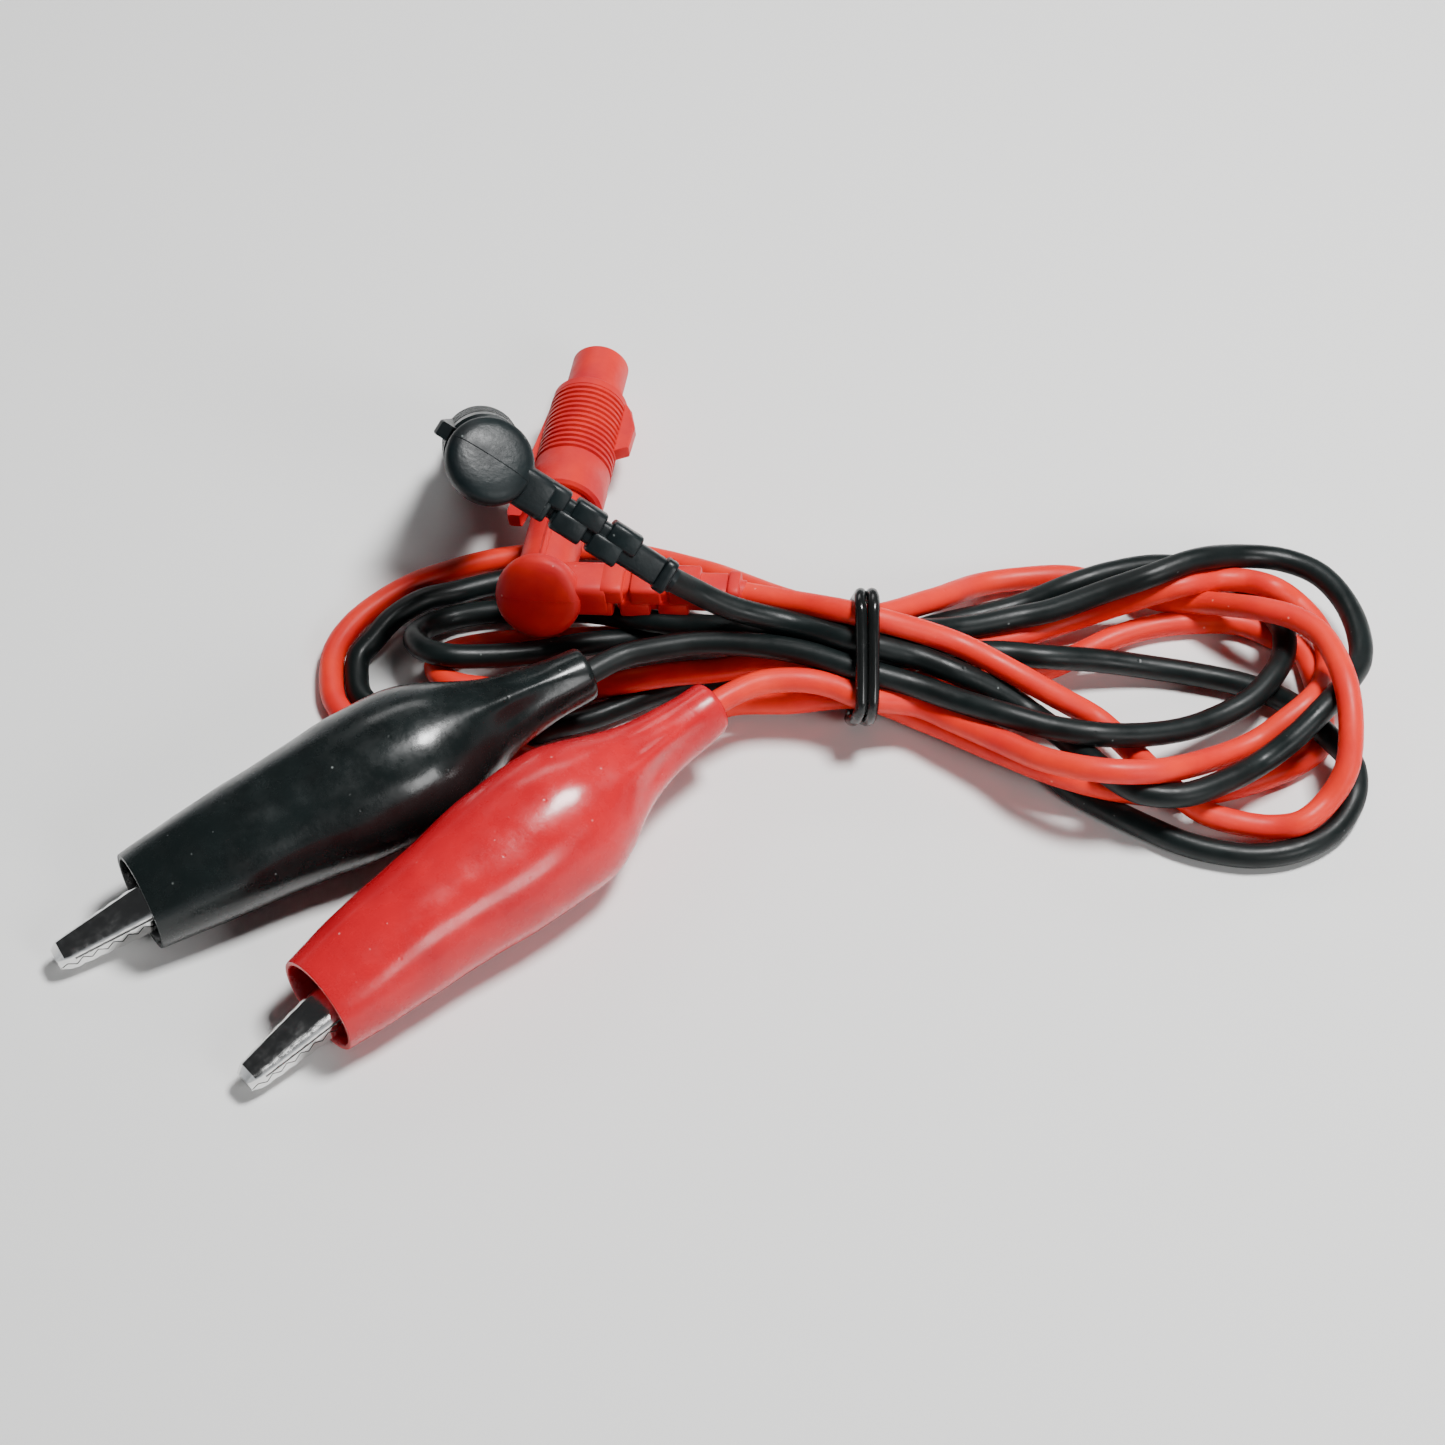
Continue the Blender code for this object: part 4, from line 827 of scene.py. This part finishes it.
def make_jaws(lead, place, clip):
    pivot = Vector((PIVOT_FROM_MOUTH, 0, PIVOT_HEIGHT)) * MM
    turn = Matrix.Rotation(math.radians(place["jaw_yaw"]), 4, "Z")
    tilt = Matrix.Rotation(-math.radians(JAW_PITCH_DEG), 4, "Y")
    joint = clip @ Matrix.Translation(pivot) @ turn @ tilt
    # The second finish is the dark metal that paints the shade in the knurl line
    finish = (MATERIALS["steel"], MATERIALS["knurl_painted_shade"])
    lower = jaw_shape(False)
    crimp(lower)
    for node, bm, body in (
        (lead + "_upper_jaw", jaw_shape(True), lead + "_jaw"),
        (lead + "_lower_jaw", lower, "leads"),
    ):
        piece(node + "_shell", bm, joint, body, [node], "plated_steel", *finish, angle=30)


# ---------------------------------------------------------------- tie

TIE_X = 21.6 * MM
TIE_RADIUS = 0.93 * MM
TIE_GAP = 0.12 * MM
TIE_STEPS = 72
# How far the tie leans along the wires, as a quadratic from its bottom to its top, mm
TIE_LEAN = (-1.2, 3.2, -1.8)


def crossings(curve, x):
    """Where a dense curve passes the plane at x, as (y, z)."""
    found = []
    for a, b in zip(curve, curve[1:]):
        if (a.x - x) * (b.x - x) < 0:
            point = a.lerp(b, (x - a.x) / (b.x - a.x))
            found.append(Vector((point.y, point.z)))
    return found


def make_tie():
    """One glossy strand wound twice round the hank, side by side."""
    middle_x = TIE_X - SHIFT.x
    section = []
    for curve in CURVES.values():
        for shift in (-2 * TIE_RADIUS, 0.0, 2 * TIE_RADIUS):
            section += crossings(curve, middle_x + shift)
    hull = [section[i] for i in convex_hull_2d(section)]
    reach = WIRE_RADIUS + TIE_GAP + TIE_RADIUS
    points = []
    for i in range(2 * TIE_STEPS + 1):
        angle = math.tau * i / TIE_STEPS - math.pi / 2
        out = Vector((math.cos(angle), math.sin(angle)))
        best = max(hull, key=lambda p: p.dot(out))
        y, z = best + out * reach
        # The strand crosses over from the first turn to the second, beneath the hank
        step = min(1.0, max(0.0, (i / TIE_STEPS - 0.92) / 0.16))
        across = (-1 + 2 * step * step * (3 - 2 * step)) * (TIE_RADIUS + 0.02 * MM)
        across += 0.10 * MM * math.sin(3.1 * angle + 2.0 * step)
        rise = (math.sin(angle) + 1) / 2
        across += (TIE_LEAN[0] + TIE_LEAN[1] * rise + TIE_LEAN[2] * rise * rise) * MM
        points.append(Vector((middle_x + across, y, z)))
    rounded_points = smooth_curve(points[::3], 4)
    strand = tube("double_turn_tie", rounded_points, TIE_RADIUS, MATERIALS["tie"], 5)
    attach(strand, "leads")
    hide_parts("tie")


# ---------------------------------------------------------------- assembly

CAD_FINISH = {
    "pivot_rivet": "steel",
    "jaw_spring": "steel",
    "conductor": "copper",
    "banana_pin": "nickel",
    "contact_spring": "nickel",
    "return_spring": "steel",
}


def finish_cad_node(name, material):
    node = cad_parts[name]
    if not node.material_slots:
        node.data.materials.append(material)
    for slot in node.material_slots:
        slot.material = material


def make_lead(lead, place):
    mouth = Vector((*place["mouth"], 0)) * MM - SHIFT
    clip = Matrix.Translation(mouth) @ Matrix.Rotation(math.radians(place["clip_yaw"]), 4, "Z")
    make_boot(lead, place, clip)
    make_jaws(lead, place, clip)
    middle = Vector(place["plug"]) * MM - SHIFT
    pin_axis = Vector(place["pin"]).normalized()
    wire_dir = (CURVES[lead][0] - middle).normalized()
    up = wire_dir.cross(pin_axis).normalized()
    side = pin_axis.cross(up)
    plug = Matrix.Translation(middle) @ Matrix((pin_axis, up, side)).transposed().to_4x4()
    wire_local = plug.to_3x3().inverted() @ wire_dir
    plug_body(lead, plug, wire_local, (CURVES[lead][0] - middle).length / MM)
    plug_sleeve(lead, plug)
    for part, finish in CAD_FINISH.items():
        finish_cad_node(f"{lead}_{part}", MATERIALS[finish])


for lead, place in LEADS.items():
    make_lead(lead, place)
make_tie()

# ---------------------------------------------------------------- floor and light


FLOOR_HALF = 2.0
FLOOR_COLOUR = (0.86, 0.86, 0.85, 1.0)
WORLD_COLOUR = (0.93, 0.96, 1.0, 1.0)
# The world's strength at the horizon, and from this height of a view direction upwards
HORIZON_STRENGTH, SKY_STRENGTH, SKY_FROM = 0.9, 0.035, 0.30
# name, place, size, power and second size, all aimed at the origin
LIGHTS = (
    ("key_softbox", (0.256, 0.074, 0.643), 0.15, 8.0, 0.15),
    ("back_card", (-0.10, 0.75, 0.60), 0.5, 1.3, 0.2),
    ("fill_softbox", (0.62, -0.62, 0.50), 0.3, 3.5, 0.3),
)


def make_stage():
    bm = bmesh.new()
    bmesh.ops.create_grid(bm, x_segments=1, y_segments=1, size=FLOOR_HALF)
    mesh = bpy.data.meshes.new("floor")
    bm.to_mesh(mesh)
    bm.free()
    n = Nodes("pale_floor")
    n.shader.inputs["Base Color"].default_value = FLOOR_COLOUR
    n.set(roughness=0.8)
    mesh.materials.append(n.material)
    floor = link(bpy.data.objects.new("floor", mesh))
    floor.location.z = CAD_BOX[0][2]


def area_light(name, place, size, power, size_y):
    data = bpy.data.lights.new(name, "AREA")
    data.energy = power
    data.shape = "RECTANGLE"
    data.size = size
    data.size_y = size_y
    light = link(bpy.data.objects.new(name, data))
    light.location = place
    light.rotation_euler = (-Vector(place)).to_track_quat("-Z", "Y").to_euler()


def make_light():
    """A room paler near its floor, a small key for the narrow gloss, a wide card behind and a fill."""
    world = bpy.data.worlds.new("studio")
    world.use_nodes = True
    tree = world.node_tree
    place = tree.nodes.new("ShaderNodeTexCoord").outputs["Generated"]
    height = tree.nodes.new("ShaderNodeSeparateXYZ")
    tree.links.new(place, height.inputs["Vector"])
    fade = tree.nodes.new("ShaderNodeMapRange")
    fade.inputs["From Min"].default_value = 0.0
    fade.inputs["From Max"].default_value = SKY_FROM
    fade.inputs["To Min"].default_value = HORIZON_STRENGTH
    fade.inputs["To Max"].default_value = SKY_STRENGTH
    tree.links.new(height.outputs["Z"], fade.inputs["Value"])
    background = tree.nodes["Background"]
    background.inputs["Color"].default_value = WORLD_COLOUR
    tree.links.new(fade.outputs["Result"], background.inputs["Strength"])
    bpy.context.scene.world = world
    for light in LIGHTS:
        area_light(*light)


make_stage()
make_light()
